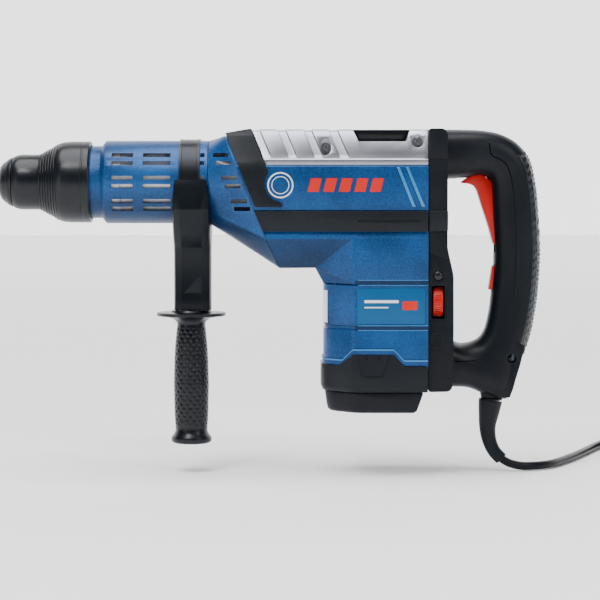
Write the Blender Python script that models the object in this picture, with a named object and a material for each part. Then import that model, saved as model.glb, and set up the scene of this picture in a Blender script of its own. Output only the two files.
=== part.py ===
"""An electric rotary hammer with a D-handle, a swivelling side handle and its mains cord.

Shapes are given in millimetres from the tool's nose, on the hammer axis: X runs back to the
handle, Z up. Every object hangs on one empty that moves this to the part's own frame, whose
origin is the middle of the rear grip.
"""

import math

import bmesh
import bpy
from mathutils import Matrix, Vector

MM = 0.001
GAP = 0.3

# Frame
GRIP_CENTRE = (464.0, 0.0, -60.0)
FLOOR = -260.5

# Front end, all turned about the hammer axis
SHANK_RADIUS = 9.05
SOCKET_DEPTH = 84.0
BARREL_RADIUS = 37.0
BARREL_START = 74.0
BARREL_END = 188.4
SLEEVE_END = 83.2
COLLAR_RADIUS = 24.0
TUBE_RADIUS = 22.0
TUBE_BORE = 18.0
TUBE_END = 262.0

# Housings
CASE_HALF_WIDTH = 48.0
CASE_WALL = 3.5
CASE_TOP = 44.5
CASE_REAR = 382.7
SEAM_AT_AXIS = 219.1
SEAM_SLOPE = -0.42
COVER_SEAT = 15.0
COVER_FRONT = 231.0
MOTOR_TOP = -90.0
MOTOR_BOTTOM = -164.0
BASE_SEAM = -185.2
BASE_BOTTOM = -203.7
MOTOR_FRONT = 291.0
MOTOR_HALF_WIDTH = 50.0
GUARD_REAR = 300.0
REAR_HALF_WIDTH = 46.0

# Drive
MOTOR_X = 340.0
CRANK_X = 304.0
CRANK_THROW = 16.0
ROD_LENGTH = 63.0
MODULE = 2.0
PINION_TEETH = 6
CRANK_TEETH = 30
INTERMEDIATE_TEETH = 20
BEVEL_TEETH = 6
CROWN_TEETH = 24
CROWN_PITCH = 28.0
CROWN_FACE = 247.8
CROWN_TOOTH = 2.6
FORK_X = 252.2
GEAR_LOW, GEAR_HIGH = -42.0, -31.0

# Side handle
SIDE_X = 172.1
YOKE_FRONT, YOKE_BACK = 157.4, 190.2
BAND_WIDTH = 18.2

# Cord
CORD_RADIUS = 3.75
COIL_CENTRE = (645.0, 216.0)
COIL_OUTER = 60.5
COIL_INNER = 30.0
COIL_HEIGHT = 30.0
COIL_TURN = 56.5
PLUG_RADIUS = 18.0
PLUG_RUN = 51.5

CURVE_PARTS = 24
FRAME = None
MATERIALS = {}


# ---------------------------------------------------------------- building blocks


def clear_scene():
    for item in list(bpy.data.objects):
        bpy.data.objects.remove(item)


def material(name, colour, roughness, metallic=0.0):
    made = bpy.data.materials.new(name)
    made.use_nodes = True
    shader = made.node_tree.nodes["Principled BSDF"]
    shader.inputs["Base Color"].default_value = (*colour, 1.0)
    shader.inputs["Roughness"].default_value = roughness
    shader.inputs["Metallic"].default_value = metallic
    MATERIALS[name] = made


def make_materials():
    material("blue_plastic", (0.022, 0.13, 0.37), 0.42)
    material("black_plastic", (0.018, 0.018, 0.02), 0.55)
    material("black_rubber", (0.012, 0.012, 0.013), 0.75)
    material("silver_cover", (0.56, 0.56, 0.58), 0.35, 0.7)
    material("red_plastic", (0.62, 0.035, 0.02), 0.4)
    material("steel", (0.5, 0.5, 0.52), 0.3, 1.0)
    material("blackened_steel", (0.06, 0.06, 0.065), 0.35, 1.0)
    material("aluminium", (0.72, 0.71, 0.7), 0.4, 1.0)
    material("copper", (0.7, 0.34, 0.2), 0.35, 1.0)
    material("carbon", (0.03, 0.03, 0.03), 0.8)
    material("circuit_board", (0.02, 0.16, 0.06), 0.6)
    material("lamp_lens", (0.05, 0.05, 0.055), 0.15)


def add(name, shape, finish, origin=(0.0, 0.0, 0.0)):
    """One object from (points, faces) in millimetres, with its own origin at the given point."""
    points, faces = shape
    mesh = bpy.data.meshes.new(name)
    mesh.from_pydata([[(p[i] - origin[i]) * MM for i in range(3)] for p in points], [], faces)
    work = bmesh.new()
    work.from_mesh(mesh)
    bmesh.ops.recalc_face_normals(work, faces=work.faces)
    work.to_mesh(mesh)
    work.free()
    mesh.materials.append(MATERIALS[finish])
    mesh.shade_smooth()
    mesh.set_sharp_from_angle(angle=math.radians(35))
    made = bpy.data.objects.new(name, mesh)
    made.location = [value * MM for value in origin]
    made.parent = FRAME
    bpy.context.scene.collection.objects.link(made)
    return made


def helper(name, shape):
    """A cutter, or a piece to be joined, that is not a node itself."""
    made = add(name, shape, "steel")
    made.hide_render = True
    made.display_type = "WIRE"
    return made


def boolean(target, other, operation="DIFFERENCE"):
    step = target.modifiers.new(operation.lower() + "_" + other.name, "BOOLEAN")
    step.operation = operation
    step.object = other
    step.solver = "EXACT"


def cut(target, name, shape):
    boolean(target, helper("cut_" + name, shape))


def join(target, name, shape):
    boolean(target, helper("add_" + name, shape), "UNION")


def keep_inside(target, name, shape):
    boolean(target, helper("keep_" + name, shape), "INTERSECT")


def bevel(target, width, segments=2, angle=40):
    step = target.modifiers.new("bevel", "BEVEL")
    step.width = width * MM
    step.segments = segments
    step.limit_method = "ANGLE"
    step.angle_limit = math.radians(angle)


def merged(*shapes):
    """Several separate shapes as one list of points and faces."""
    points, faces = [], []
    for more_points, more_faces in shapes:
        start = len(points)
        points += more_points
        faces += [[start + index for index in face] for face in more_faces]
    return points, faces


def box(low, high):
    outline = [(low[0], low[1]), (high[0], low[1]), (high[0], high[1]), (low[0], high[1])]
    return prism(outline, low[2], high[2], "XY")


def prism(outline, low, high, plane):
    """A flat outline in the XZ, XY or YZ plane, extruded along the third axis."""

    def place(u, v, w):
        return {"XZ": (u, w, v), "XY": (u, v, w), "YZ": (w, u, v)}[plane]

    count = len(outline)
    points = [place(u, v, low) for u, v in outline] + [place(u, v, high) for u, v in outline]
    faces = [[i, (i + 1) % count, count + (i + 1) % count, count + i] for i in range(count)]
    faces += [list(range(count)), list(range(2 * count - 1, count - 1, -1))]
    return points, faces


def turned(profile, steps=20, axis="X", centre=(0.0, 0.0), phase=0.0):
    """A closed profile of (along, radius) turned about an axis. A radius of 0 lies on the axis."""

    def place(along, radius, angle):
        u = centre[0] + radius * math.cos(angle)
        v = centre[1] + radius * math.sin(angle)
        return {"X": (along, u, v), "Y": (u, along, v), "Z": (u, v, along)}[axis]

    points, rows = [], []
    for along, radius in profile:
        rows.append([])
        for step in range(steps if radius > 0 else 1):
            rows[-1].append(len(points))
            points.append(place(along, radius, phase + 2 * math.pi * step / steps))
    faces = []
    on_axis = any(radius == 0 for _, radius in profile)
    for first, second in zip(rows, rows[1:] + ([] if on_axis else rows[:1])):
        for step in range(steps):
            after = (step + 1) % steps
            corners = [first[step % len(first)], first[after % len(first)]]
            corners += [second[after % len(second)], second[step % len(second)]]
            faces.append(list(dict.fromkeys(corners)))
    return points, [face for face in faces if len(face) > 2]


def rod(low, high, radius, axis, centre, steps=20):
    return turned([(low, 0), (low, radius), (high, radius), (high, 0)], steps, axis, centre)


def ring(low, high, inner, outer, axis="X", centre=(0.0, 0.0), steps=20):
    return turned([(low, inner), (low, outer), (high, outer), (high, inner)], steps, axis, centre)


def lofted(rings):
    """A closed skin through rings of equally many points, with both ends capped."""
    count = len(rings[0])
    points = [point for ring_points in rings for point in ring_points]
    faces = [list(range(count)), list(range(len(points) - count, len(points)))]
    for start in range(0, len(points) - count, count):
        for i in range(count):
            after = (i + 1) % count
            faces.append([start + i, start + after, start + count + after, start + count + i])
    return points, faces


def squircle(half_width, half_height, power, count):
    """Points of a superellipse: power 2 is an ellipse, and a higher one is squarer."""
    outline = []
    for i in range(count):
        angle = 2 * math.pi * (i + 0.5) / count
        across, up = math.cos(angle), math.sin(angle)
        outline.append(
            (
                half_width * math.copysign(abs(across) ** (2 / power), across),
                half_height * math.copysign(abs(up) ** (2 / power), up),
            )
        )
    return outline


def case_ring(at_axis, slope, half_width, top, bottom, power, count=24):
    """A section of the body, in a plane that leans by the given slope of X against Z."""
    middle, half = (top + bottom) / 2, (top - bottom) / 2
    return [
        (at_axis + slope * (middle + up), across, middle + up)
        for across, up in squircle(half_width, half, power, count)
    ]


def smooth_path(stops, count, first=0, last=-1):
    """Evenly spread points of a smooth curve through the stops, from one stop to another."""
    stops = [Vector(stop) for stop in stops]
    last %= len(stops)
    ends = [2 * stops[0] - stops[1]] + stops + [2 * stops[-1] - stops[-2]]
    fine = []
    for a, b, c, d in zip(ends, ends[1:], ends[2:], ends[3:]):
        for part in range(CURVE_PARTS):
            t = part / CURVE_PARTS
            fine.append(
                0.5
                * (
                    2 * b
                    + (c - a) * t
                    + (2 * a - 5 * b + 4 * c - d) * t * t
                    + (3 * b - a - 3 * c + d) * t**3
                )
            )
    fine.append(stops[-1])
    fine = fine[first * CURVE_PARTS : last * CURVE_PARTS + 1]
    reached = [0.0]
    for before, after in zip(fine, fine[1:]):
        reached.append(reached[-1] + (after - before).length)
    even, at = [], 0
    for step in range(count):
        wanted = reached[-1] * step / (count - 1)
        while at < len(fine) - 2 and reached[at + 1] < wanted:
            at += 1
        share = (wanted - reached[at]) / (reached[at + 1] - reached[at])
        even.append(fine[at].lerp(fine[at + 1], share))
    return even


def tapered(path, radii, steps=14):
    """A round tube along a path in the XZ plane, whose radius changes along it."""
    rings = []
    for i, point in enumerate(path):
        ahead = path[min(i + 1, len(path) - 1)] - path[max(i - 1, 0)]
        ahead.normalize()
        side = Vector((0, 1, 0))
        up = ahead.cross(side)
        share = i / (len(path) - 1) * (len(radii) - 1)
        low = min(int(share), len(radii) - 2)
        radius = radii[low] + (radii[low + 1] - radii[low]) * (share - low)
        rings.append(
            [
                tuple(
                    point
                    + radius * math.cos(2 * math.pi * k / steps) * side
                    + radius * math.sin(2 * math.pi * k / steps) * up
                )
                for k in range(steps)
            ]
        )
    return lofted(rings)


def gear_outline(teeth, centre, phase=0.0, module=MODULE):
    """A gear's outline with straight-sided teeth, one tooth centred on the phase angle."""
    pitch = teeth * module / 2
    outline = []
    for tooth in range(teeth):
        middle = phase + 2 * math.pi * tooth / teeth
        for radius, share in ((pitch - 1.4, -0.27), (pitch + 1, -0.11)):
            outline.append((radius, middle + share * 2 * math.pi / teeth))
        for radius, share in ((pitch + 1, 0.11), (pitch - 1.4, 0.27)):
            outline.append((radius, middle + share * 2 * math.pi / teeth))
    return [(centre + r * math.cos(angle), r * math.sin(angle)) for r, angle in outline]


def radial_boxes(x_low, x_high, angles, half_height, inner, outer):
    """Boxes that point outwards from the hammer axis, one at each angle above the side (-Y)."""
    shapes = []
    for angle in angles:
        turn = Matrix.Rotation(-angle, 3, "X")
        corners, faces = box((x_low, -outer, -half_height), (x_high, -inner, half_height))
        shapes.append(([tuple(turn @ Vector(corner)) for corner in corners], faces))
    return merged(*shapes)


# ---------------------------------------------------------------- chuck and hammer


def dust_cap():
    profile = [(1.5, 10.2), (1.5, 13.6), (3.0, 15.6), (5.4, 18.0), (8.4, 20.2), (11.0, 21.6)]
    profile += [(12.5, 22.0), (12.5, 14.2), (4.4, 14.2), (4.4, 9.5), (2.2, 9.5)]
    add("dust_cap", turned(profile), "black_rubber")


def locking_sleeve():
    profile = [(13.0, 21.0), (14.2, 22.8), (16.4, 23.9), (21.6, 24.7), (37.8, 24.7)]
    profile += [(43.2, 27.8), (48.6, 30.5), (54.0, 34.1), (59.4, 35.9), (75.6, 36.4)]
    profile += [(82.4, 36.4), (SLEEVE_END, 35.8), (SLEEVE_END, 33.3), (61.0, 33.3)]
    profile += [(40.0, 21.6), (13.0, 20.4)]
    add("locking_sleeve", turned(profile), "black_plastic")


def sleeve_spring():
    """A coil of round wire about the tool holder, short of its seat by the sleeve's travel."""
    turns, per_turn, helix, wire = 4, 12, 18.9, 0.9
    path = []
    for i in range(turns * per_turn + 1):
        angle = 2 * math.pi * i / per_turn
        along = 20.0 + 2.6 * i / per_turn
        path.append(Vector((along, helix * math.cos(angle), helix * math.sin(angle))))
    rings = []
    for i, point in enumerate(path):
        ahead = (path[min(i + 1, len(path) - 1)] - path[max(i - 1, 0)]).normalized()
        out = Vector((0, point.y, point.z)).normalized()
        side = ahead.cross(out)
        rings.append(
            [
                tuple(point + wire * (math.cos(a) * out + math.sin(a) * side))
                for a in (0, math.pi / 2, math.pi, 3 * math.pi / 2)
            ]
        )
    add("sleeve_spring", lofted(rings), "steel")


def tool_holder():
    profile = [(4.8, 10.6), (6.0, 13.7), (40.0, 13.7), (40.0, 17.0), (SOCKET_DEPTH - GAP, 17.0)]
    profile += [(SOCKET_DEPTH - GAP, SHANK_RADIUS), (4.8, SHANK_RADIUS)]
    made = add("tool_holder", turned(profile), "steel")
    for side, low, high in (("upper", 8.0, 18.0), ("lower", -18.0, -8.0)):
        cut(made, "locking_slot_" + side, box((43.0, -3.9, low), (70.0, 3.9, high)))


def locking_bodies():
    for side, height in (("upper", 11.2), ("lower", -11.2)):
        profile = [(44.0, 0), (44.0, 2.2), (45.2, 3.5), (67.8, 3.5), (69.0, 2.2), (69.0, 0)]
        shape = turned(profile, 12, "X", (0.0, height))
        add("locking_body_" + side, shape, "steel", (56.5, 0.0, height))


def hammer_tube():
    """The spindle tube: a collar that the front bearing holds, then the striker's cylinder."""
    profile = [(SOCKET_DEPTH, COLLAR_RADIUS), (118.0, COLLAR_RADIUS), (118.0, TUBE_RADIUS)]
    profile += [(TUBE_END, TUBE_RADIUS), (TUBE_END, TUBE_BORE), (118.3, TUBE_BORE)]
    profile += [(118.3, 14.0), (SOCKET_DEPTH, 14.0)]
    add("hammer_tube", turned(profile), "steel")


def crown_gear():
    shape = ring(237.0, CROWN_FACE, TUBE_RADIUS + GAP, 33.5)
    made = add("crown_gear", shape, "steel")
    pitch = 2 * math.pi / CROWN_TEETH
    spaces = [-math.pi / 2 + pitch * tooth for tooth in range(CROWN_TEETH)]
    half_space = 0.66 * CROWN_PITCH * pitch / 2
    low, high = CROWN_FACE - CROWN_TOOTH, CROWN_FACE + 2.0
    cut(made, "crown_spaces", radial_boxes(low, high, spaces, half_space, 23.9, 40.0))


def front_bearing():
    add("front_bearing", ring(100.0, 112.0, COLLAR_RADIUS + GAP, 29.3), "steel")


def impact_bolt():
    profile = [(86.0, 0), (86.0, 7.0), (87.0, 8.2), (119.5, 8.2), (122.0, 13.0), (130.0, 13.0)]
    profile += [(132.0, 10.0), (139.0, 10.0), (140.0, 9.0), (140.0, 0)]
    add("impact_bolt", turned(profile, 24), "steel")


def striker():
    profile = [(148.0, 0), (148.0, 10.0), (152.0, 12.0), (156.0, 17.6), (185.0, 17.6), (185.0, 0)]
    add("striker", turned(profile, 24), "steel")


def piston_group():
    wrist_x = CRANK_X + CRANK_THROW - ROD_LENGTH
    made = add("piston", rod(232.0, 266.0, 17.6, "X", (0.0, 0.0), 24), "aluminium")
    cut(made, "rod_pocket", box((245.0, -13.0, -8.0), (270.0, 13.0, 8.0)))
    cut(made, "wrist_hole", rod(-20.0, 20.0, 4.4, "Z", (wrist_x, 0.0), 16))
    add("wrist_pin", rod(-16.0, 16.0, 4.0, "Z", (wrist_x, 0.0), 16), "steel")

    pin_x = wrist_x + ROD_LENGTH
    made = add(
        "connecting_rod",
        box((wrist_x, -6.0, -6.0), (pin_x, 6.0, 6.0)),
        "aluminium",
        (wrist_x, 0.0, 0.0),
    )
    join(made, "small_eye", rod(-6.2, 6.2, 8.6, "Z", (wrist_x, 0.0), 20))
    join(made, "big_eye", rod(-6.3, 6.3, 12.0, "Z", (pin_x, 0.0), 20))
    cut(made, "small_bore", rod(-20.0, 20.0, 4.4, "Z", (wrist_x, 0.0), 16))
    cut(made, "big_bore", rod(-20.0, 20.0, 7.0, "Z", (pin_x, 0.0), 20))


# ---------------------------------------------------------------- gears and motor


def crank_gear():
    """The crank: a gear, a disc and an off-centre pin that stops short of the rod's eye."""
    half_tooth = math.pi / CRANK_TEETH
    outline = gear_outline(CRANK_TEETH, CRANK_X, half_tooth)
    made = add("crank_gear", prism(outline, GEAR_LOW, GEAR_HIGH, "XY"), "steel", (CRANK_X, 0, 0))
    profile = [(-92.0, 0), (-92.0, 7.5), (-50.0, 7.5), (-50.0, 12.0), (-24.0, 12.0)]
    profile += [(-24.0, 22.5), (-11.0, 22.5), (-11.0, 0)]
    join(made, "crank_disc", turned(profile, 24, "Z", (CRANK_X, 0.0)))
    join(made, "crank_pin", rod(-15.0, -6.8, 6.0, "Z", (CRANK_X + CRANK_THROW, 0.0), 16))


def intermediate_gear():
    centre = CRANK_X - MODULE * (CRANK_TEETH + INTERMEDIATE_TEETH) / 2
    outline = gear_outline(INTERMEDIATE_TEETH, centre)
    shape = prism(outline, GEAR_LOW, GEAR_HIGH - 3.5, "XY")
    made = add("intermediate_gear", shape, "steel", (centre, 0, 0))
    bevel_module = 2 * CROWN_PITCH / CROWN_TEETH
    pinion = gear_outline(BEVEL_TEETH, centre, 0.0, bevel_module)
    join(made, "intermediate_shaft", rod(-60.0, -33.0, 5.0, "Z", (centre, 0.0), 16))
    join(made, "bevel_pinion", prism(pinion, -34.0, -24.0, "XY"))


def bearing_plate():
    """The wall between gears and motor, which holds the bearings of both shafts."""
    outline = [(297.0, -18.0), (316.0, -36.0), (377.5, -36.0), (377.5, 36.0), (316.0, 36.0), (297.0, 18.0)]
    made = add("bearing_plate", prism(outline, -85.0, -78.0, "XY"), "aluminium")
    cut(made, "motor_seat", rod(-95.0, -70.0, 13.0, "Z", (MOTOR_X, 0.0), 24))
    cut(made, "crank_seat", rod(-95.0, -70.0, 8.2, "Z", (CRANK_X, 0.0), 24))


def armature():
    motor = (MOTOR_X, 0.0, 0.0)
    profile = [(-186.0, 0), (-186.0, 5.0), (-44.0, 5.0), (-44.0, 3.9), (-29.0, 3.9), (-29.0, 0)]
    made = add("armature_shaft", turned(profile, 16, "Z", motor), "steel", motor)
    # The tooth that faces the crank gear lies on the line between both shafts.
    pinion = gear_outline(PINION_TEETH, MOTOR_X, math.pi)
    join(made, "motor_pinion", prism(pinion, GEAR_LOW - 1.0, GEAR_HIGH + 1.0, "XY"))
    add("armature_core", ring(-148.0, -110.0, 5.0 + GAP, 26.0, "Z", motor), "copper", motor)
    add("commutator", ring(-171.0, -155.0, 5.0 + GAP, 14.0, "Z", motor, 24), "copper", motor)
    blades = []
    for blade in range(11):
        angle = 2 * math.pi * blade / 11
        for radius, share in ((14.0, -0.16), (39.0, -0.05), (39.0, 0.05), (14.0, 0.16)):
            turn = angle + share
            blades.append((MOTOR_X + radius * math.cos(turn), radius * math.sin(turn)))
    made = add("cooling_fan", prism(blades, -105.0, -93.0, "XY"), "black_plastic", motor)
    cut(made, "fan_bore", rod(-120.0, -80.0, 5.0 + GAP, "Z", motor, 20))


def motor_parts():
    motor = (MOTOR_X, 0.0)
    add("stator", ring(-150.0, -108.0, 26.8, 38.7, "Z", motor), "steel")
    add("upper_motor_bearing", ring(-86.0, -78.0, 5.0 + GAP, 12.7, "Z", motor, 24), "steel")
    add("lower_motor_bearing", ring(-184.0, -176.0, 5.0 + GAP, 12.7, "Z", motor, 24), "steel")
    for side, sign in (("left", -1), ("right", 1)):
        low, high = sorted((sign * 14.5, sign * 30.0))
        shape = box((MOTOR_X - 4.0, low, -169.0), (MOTOR_X + 4.0, high, -157.0))
        add("carbon_brush_" + side, shape, "carbon")


# ---------------------------------------------------------------- housings


def front_barrel():
    profile = [(BARREL_START, 32.3), (92.7, 32.3), (96.3, BARREL_RADIUS)]
    profile += [(BARREL_END, BARREL_RADIUS), (BARREL_END, 34.2), (97.5, 34.2), (96.0, 29.9)]
    profile += [(BARREL_START, 29.9)]
    made = add("front_barrel", turned(profile, 32), "blue_plastic")
    rows = [math.radians(pair + half) for pair in (-33.4, 0.0, 33.4) for half in (-6.4, 6.4)]
    rows += [math.pi - row for row in rows]
    # The slots stand in two sets along the barrel, in front of the clamp.
    spans = ((103.5, 122.5), (131.3, 155.3))
    for number, (start, end) in enumerate(spans):
        shape = radial_boxes(start, end, rows, 1.8, 33.6, 40.0)
        cut(made, "slots_" + str(number + 1), shape)


def inner_tube():
    profile = [(98.2, 33.4), (108.5, 33.4), (108.5, 32.4), (226.0, 32.4), (226.0, 29.6)]
    profile += [(98.2, 29.6)]
    add("inner_tube", turned(profile), "aluminium")


def cone_rings(grow=0.0):
    """The front cone, from the round barrel to the leaning seam. A negative grow is its inside."""
    start = BARREL_END + GAP
    rings = [case_ring(start, 0.0, BARREL_RADIUS + grow, 37.0 + grow, -37.0 - grow, 2.0)]
    middle = SEAM_SLOPE * 0.45
    rings.append(case_ring(203.5, middle, 41.3 + grow, 41.6 + grow, -51.0 - grow, 2.25))
    rings.append(
        case_ring(SEAM_AT_AXIS, SEAM_SLOPE, 46.0 + grow, 44.4 + grow, -70.5 - grow, 2.8)
    )
    return rings


def body_rings(grow=0.0, rear=CASE_REAR):
    """The gear case behind the seam. A negative grow is its inside."""
    half, top = CASE_HALF_WIDTH + grow, CASE_TOP + grow
    return [
        case_ring(SEAM_AT_AXIS + GAP, SEAM_SLOPE, 46.0 + grow, 44.4 + grow, -70.5 - grow, 2.8),
        case_ring(240.0, SEAM_SLOPE * 0.75, 47.5 + grow, top, -74.0 - grow, 3.6),
        case_ring(262.0, 0.0, half, top, -77.0 - grow, 5.5),
        case_ring(283.5, 0.0, half, top, -77.0 - grow, 6.5),
        case_ring(291.5, 0.0, half, top, MOTOR_TOP - 14.0, 7.0),
        case_ring(rear, 0.0, half, top, MOTOR_TOP - 14.0, 7.0),
    ]


def extended(rings, by_front, by_rear):
    """The rings with copies of both ends pushed out along X, so that a cutter runs through."""
    first = [(x - by_front, y, z) for x, y, z in rings[0]]
    last = [(x + by_rear, y, z) for x, y, z in rings[-1]]
    return [first] + rings + [last]


def front_cone():
    made = add("front_cone", lofted(cone_rings()), "blue_plastic")
    cut(made, "cone_inside", lofted(extended(cone_rings(-2.8), 4.0, 4.0)))


def lower_facets(inward=0.0):
    """The wedges cut from both sides of the case's belly."""
    shapes = []
    for sign in (-1, 1):
        wedge = [(60.0, -50.0), (47.7 - inward, -50.0), (26.0 - inward, -78.0)]
        wedge += [(26.0 - inward, -99.0), (60.0, -99.0)]
        shapes.append(prism([(sign * y, z) for y, z in wedge], 236.0, 289.0, "YZ"))
    return merged(*shapes)


def gear_housing():
    made = add("gear_housing", lofted(body_rings()), "blue_plastic")
    inside = helper("cut_case_inside", lofted(extended(body_rings(-CASE_WALL), 8.0, 8.0)))
    cut(inside, "inner_facets", lower_facets(4.5))
    boolean(made, inside)
    room = box((COVER_FRONT - GAP, -60.0, COVER_SEAT), (400.0, 60.0, 60.0))
    cut(made, "cover_room", room)
    cut(made, "lower_facets", lower_facets())
    cut(made, "motor_seam", box((280.0, -60.0, -120.0), (400.0, 60.0, MOTOR_TOP)))


def bumper_guard():
    """The soft guard over the seam of cone and case, down both sides and across the top."""
    shape = lofted(extended(body_rings(2.4, GUARD_REAR), 22.0, 0.0))
    made = add("bumper_guard", shape, "black_rubber")
    outline = [(201.6, 49.5), (226.0, 49.5), (227.4, 45.3), (242.4, 8.6), (239.6, 4.0)]
    outline += [(238.2, -2.5), (241.4, -11.0), (246.6, -15.8), (253.2, -18.0), (255.4, -22.0)]
    outline += [(230.4, -22.0)]
    keep_inside(made, "guard_outline", prism(outline, -60.0, 60.0, "XZ"))
    cut(made, "guard_inside", lofted(extended(body_rings(0.35, GUARD_REAR), 22.0, 8.0)))


def cover_section(inset):
    """Half-round top section of the cover: a flat crown and sloping sides."""
    side = [(45.6 - inset, COVER_SEAT + GAP), (45.6 - inset, 18.2), (43.0 - inset, 21.0)]
    side += [(35.0 - inset, 39.5 - inset), (28.0 - inset / 2, CASE_TOP - inset)]
    return side + [(-y, z) for y, z in reversed(side)]


def top_cover():
    shape = prism(cover_section(0.0), COVER_FRONT, CASE_REAR - GAP, "YZ")
    made = add("top_cover", shape, "silver_cover")
    for name, ceiling, start, end in (
        ("front", 41.0, COVER_FRONT + 3.0, 313.0),
        ("rear", 32.5, COVER_FRONT + 3.0, CASE_REAR - 3.0),
    ):
        side = [(40.0, 5.0), (40.0, 20.0), (29.0, ceiling)]
        inside = side + [(-y, z) for y, z in reversed(side)]
        cut(made, "cover_inside_" + name, prism(inside, start, end, "YZ"))
    recess = [(316.5, 60.0), (316.5, 45.0), (321.5, 35.8), (363.0, 35.8), (368.0, 45.0)]
    recess += [(368.0, 60.0)]
    cut(made, "knob_recess", prism(recess, -60.0, 60.0, "XZ"))
    cut(made, "knob_hole", rod(20.0, 50.0, 5.5, "Z", (342.2, 0.0), 20))
    guard = lofted(extended(body_rings(2.9, GUARD_REAR), 22.0, 0.0))
    leaning = [(200.0, 60.0), (222.1, 60.0), (228.1, 45.6), (241.0, 13.0), (200.0, 13.0)]
    corner = helper("cut_cover_corner", guard)
    keep_inside(corner, "cover_corner", prism(leaning, -70.0, 70.0, "XZ"))
    boolean(made, corner)


def mode_selector():
    centre = (342.2, 0.0)
    profile = [(27.0, 0), (27.0, 5.0), (36.2, 5.0), (36.2, 20.6), (39.0, 20.6), (43.6, 18.6)]
    profile += [(43.6, 0)]
    made = add("selector_knob", turned(profile, 28, "Z", centre), "black_plastic", (*centre, 0.0))
    join(made, "selector_pin", rod(22.0, 28.0, 1.8, "Z", (342.2, 3.0), 10))
    shape = box((FORK_X + 1.0, -5.0, 25.4), (322.0, 5.0, 27.6))
    made = add("shift_fork", shape, "steel")
    fork = [(-28.5, 4.0), (-24.0, 4.0), (-24.0, 23.0), (24.0, 23.0), (24.0, 4.0), (28.5, 4.0)]
    fork += [(28.5, 27.0), (-28.5, 27.0)]
    join(made, "fork_arms", prism(fork, FORK_X, FORK_X + 4.0, "YZ"))


def cover_screws():
    for number, (x, height) in enumerate(((293.4, 31.0), (374.0, 37.0))):
        profile = [(28.0, 0), (28.0, 2.0), (40.0, 2.0), (40.0, 4.2), (43.5, 4.2), (43.5, 0)]
        shape = turned([(-a, r) for a, r in profile], 12, "Y", (x, height))
        add("cover_screw_" + str(number + 1), shape, "steel")
        well = rod(-60.0, -20.0, 4.6, "Y", (x, height), 16)
        cut(bpy.data.objects["top_cover"], "screw_well_" + str(number + 1), well)


def side_strips():
    outline = [(229.6, -25.6), (CASE_REAR - GAP, -25.6), (CASE_REAR - GAP, -43.4), (237.2, -43.4)]
    for side, sign in (("left", -1), ("right", 1)):
        low, high = sorted((sign * (CASE_HALF_WIDTH + GAP), sign * 50.0))
        add("side_strip_" + side, prism(outline, low, high, "XZ"), "black_plastic")


def motor_plan(inset=0.0, rear=CASE_REAR):
    """Plan outline of the motor housing: flat front, chamfered front corners, flat sides."""
    front = MOTOR_FRONT + inset
    half = MOTOR_HALF_WIDTH - inset
    side = [(front, 21.0 - inset / 2), (front + 2.0, 25.0 - inset / 2), (314.0 + inset / 2, half - 3.0)]
    side += [(319.0 + inset / 2, half), (rear, half)]
    return [(x, -y) for x, y in side] + list(reversed(side))


def motor_housing():
    outline = motor_plan(0.0, CASE_REAR - GAP)
    shape = prism(outline, MOTOR_BOTTOM, MOTOR_TOP - GAP, "XY")
    made = add("motor_housing", shape, "blue_plastic")
    cut(made, "motor_inside", prism(motor_plan(3.2, 379.2), -180.0, -80.0, "XY"))


def base_parts():
    shape = prism(motor_plan(-2.5, CASE_REAR - GAP), BASE_SEAM + GAP, MOTOR_BOTTOM - GAP, "XY")
    made = add("base_cover", shape, "black_plastic")
    bevel(made, 1.2, 1)
    cut(made, "base_inside", prism(motor_plan(1.5, 380.6), -200.0, -150.0, "XY"))

    top, low = motor_plan(-0.5, 378.4), motor_plan(6.0, 371.5)
    rings = [[(x, y, BASE_SEAM) for x, y in top]]
    rings.append([(x, y, BASE_BOTTOM + 3.0) for x, y in motor_plan(3.0, 374.0)])
    rings.append([(x, y, BASE_BOTTOM) for x, y in low])
    made = add("base_cap", lofted(rings), "black_rubber")
    inside = [[(x, y, BASE_SEAM + 3.0) for x, y in motor_plan(4.5, 373.4)]]
    inside.append([(x, y, BASE_BOTTOM + 5.0) for x, y in motor_plan(8.0, 368.0)])
    cut(made, "cap_inside", lofted(inside))


# ---------------------------------------------------------------- rear body and handle


def rear_outline(grow=0.0):
    """Side outline of the black rear body, whose back face leans out lower down."""
    start = CASE_REAR + GAP
    outline = [(start, 46.6 + grow), (396.4 + grow, 46.6 + grow), (399.7 + grow, 43.0)]
    outline += [(399.7 + grow, -58.0), (402.4 + grow, -70.0), (405.1 + grow, -82.0)]
    outline += [(405.3 + grow, -135.0), (404.4 + grow, -181.0), (401.4 + grow, -184.6 - grow)]
    return outline + [(start, -185.0 - grow)]


def rear_housing():
    shape = prism(rear_outline(), -REAR_HALF_WIDTH, REAR_HALF_WIDTH, "XZ")
    made = add("rear_housing", shape, "black_plastic")
    bevel(made, 4.0, 2, 50)
    inside = box((370.0, -42.5, -181.0), (396.4, 42.5, 42.5))
    cut(made, "rear_inside", inside)
    cut(made, "dial_window", box((386.2, -60.0, -121.0), (396.8, -40.0, -91.0)))
    cut(made, "lamp_hole", rod(-60.0, -40.0, 4.0, "Y", (391.5, -82.3), 16))
    cut(made, "upper_wire_hole", rod(388.0, 420.0, 9.0, "X", (0.0, 25.0), 16))
    cut(made, "lower_wire_hole", rod(390.0, 420.0, 9.0, "X", (0.0, -163.0), 16))


def speed_dial():
    centre = (-33.6, -105.6)
    profile = [(387.2, 0), (387.2, 12.4), (388.2, 13.4), (395.0, 13.4), (396.0, 12.4), (396.0, 0)]
    shape = turned(profile, 24, "X", centre)
    add("speed_dial", shape, "red_plastic", (391.6, *centre))


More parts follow.
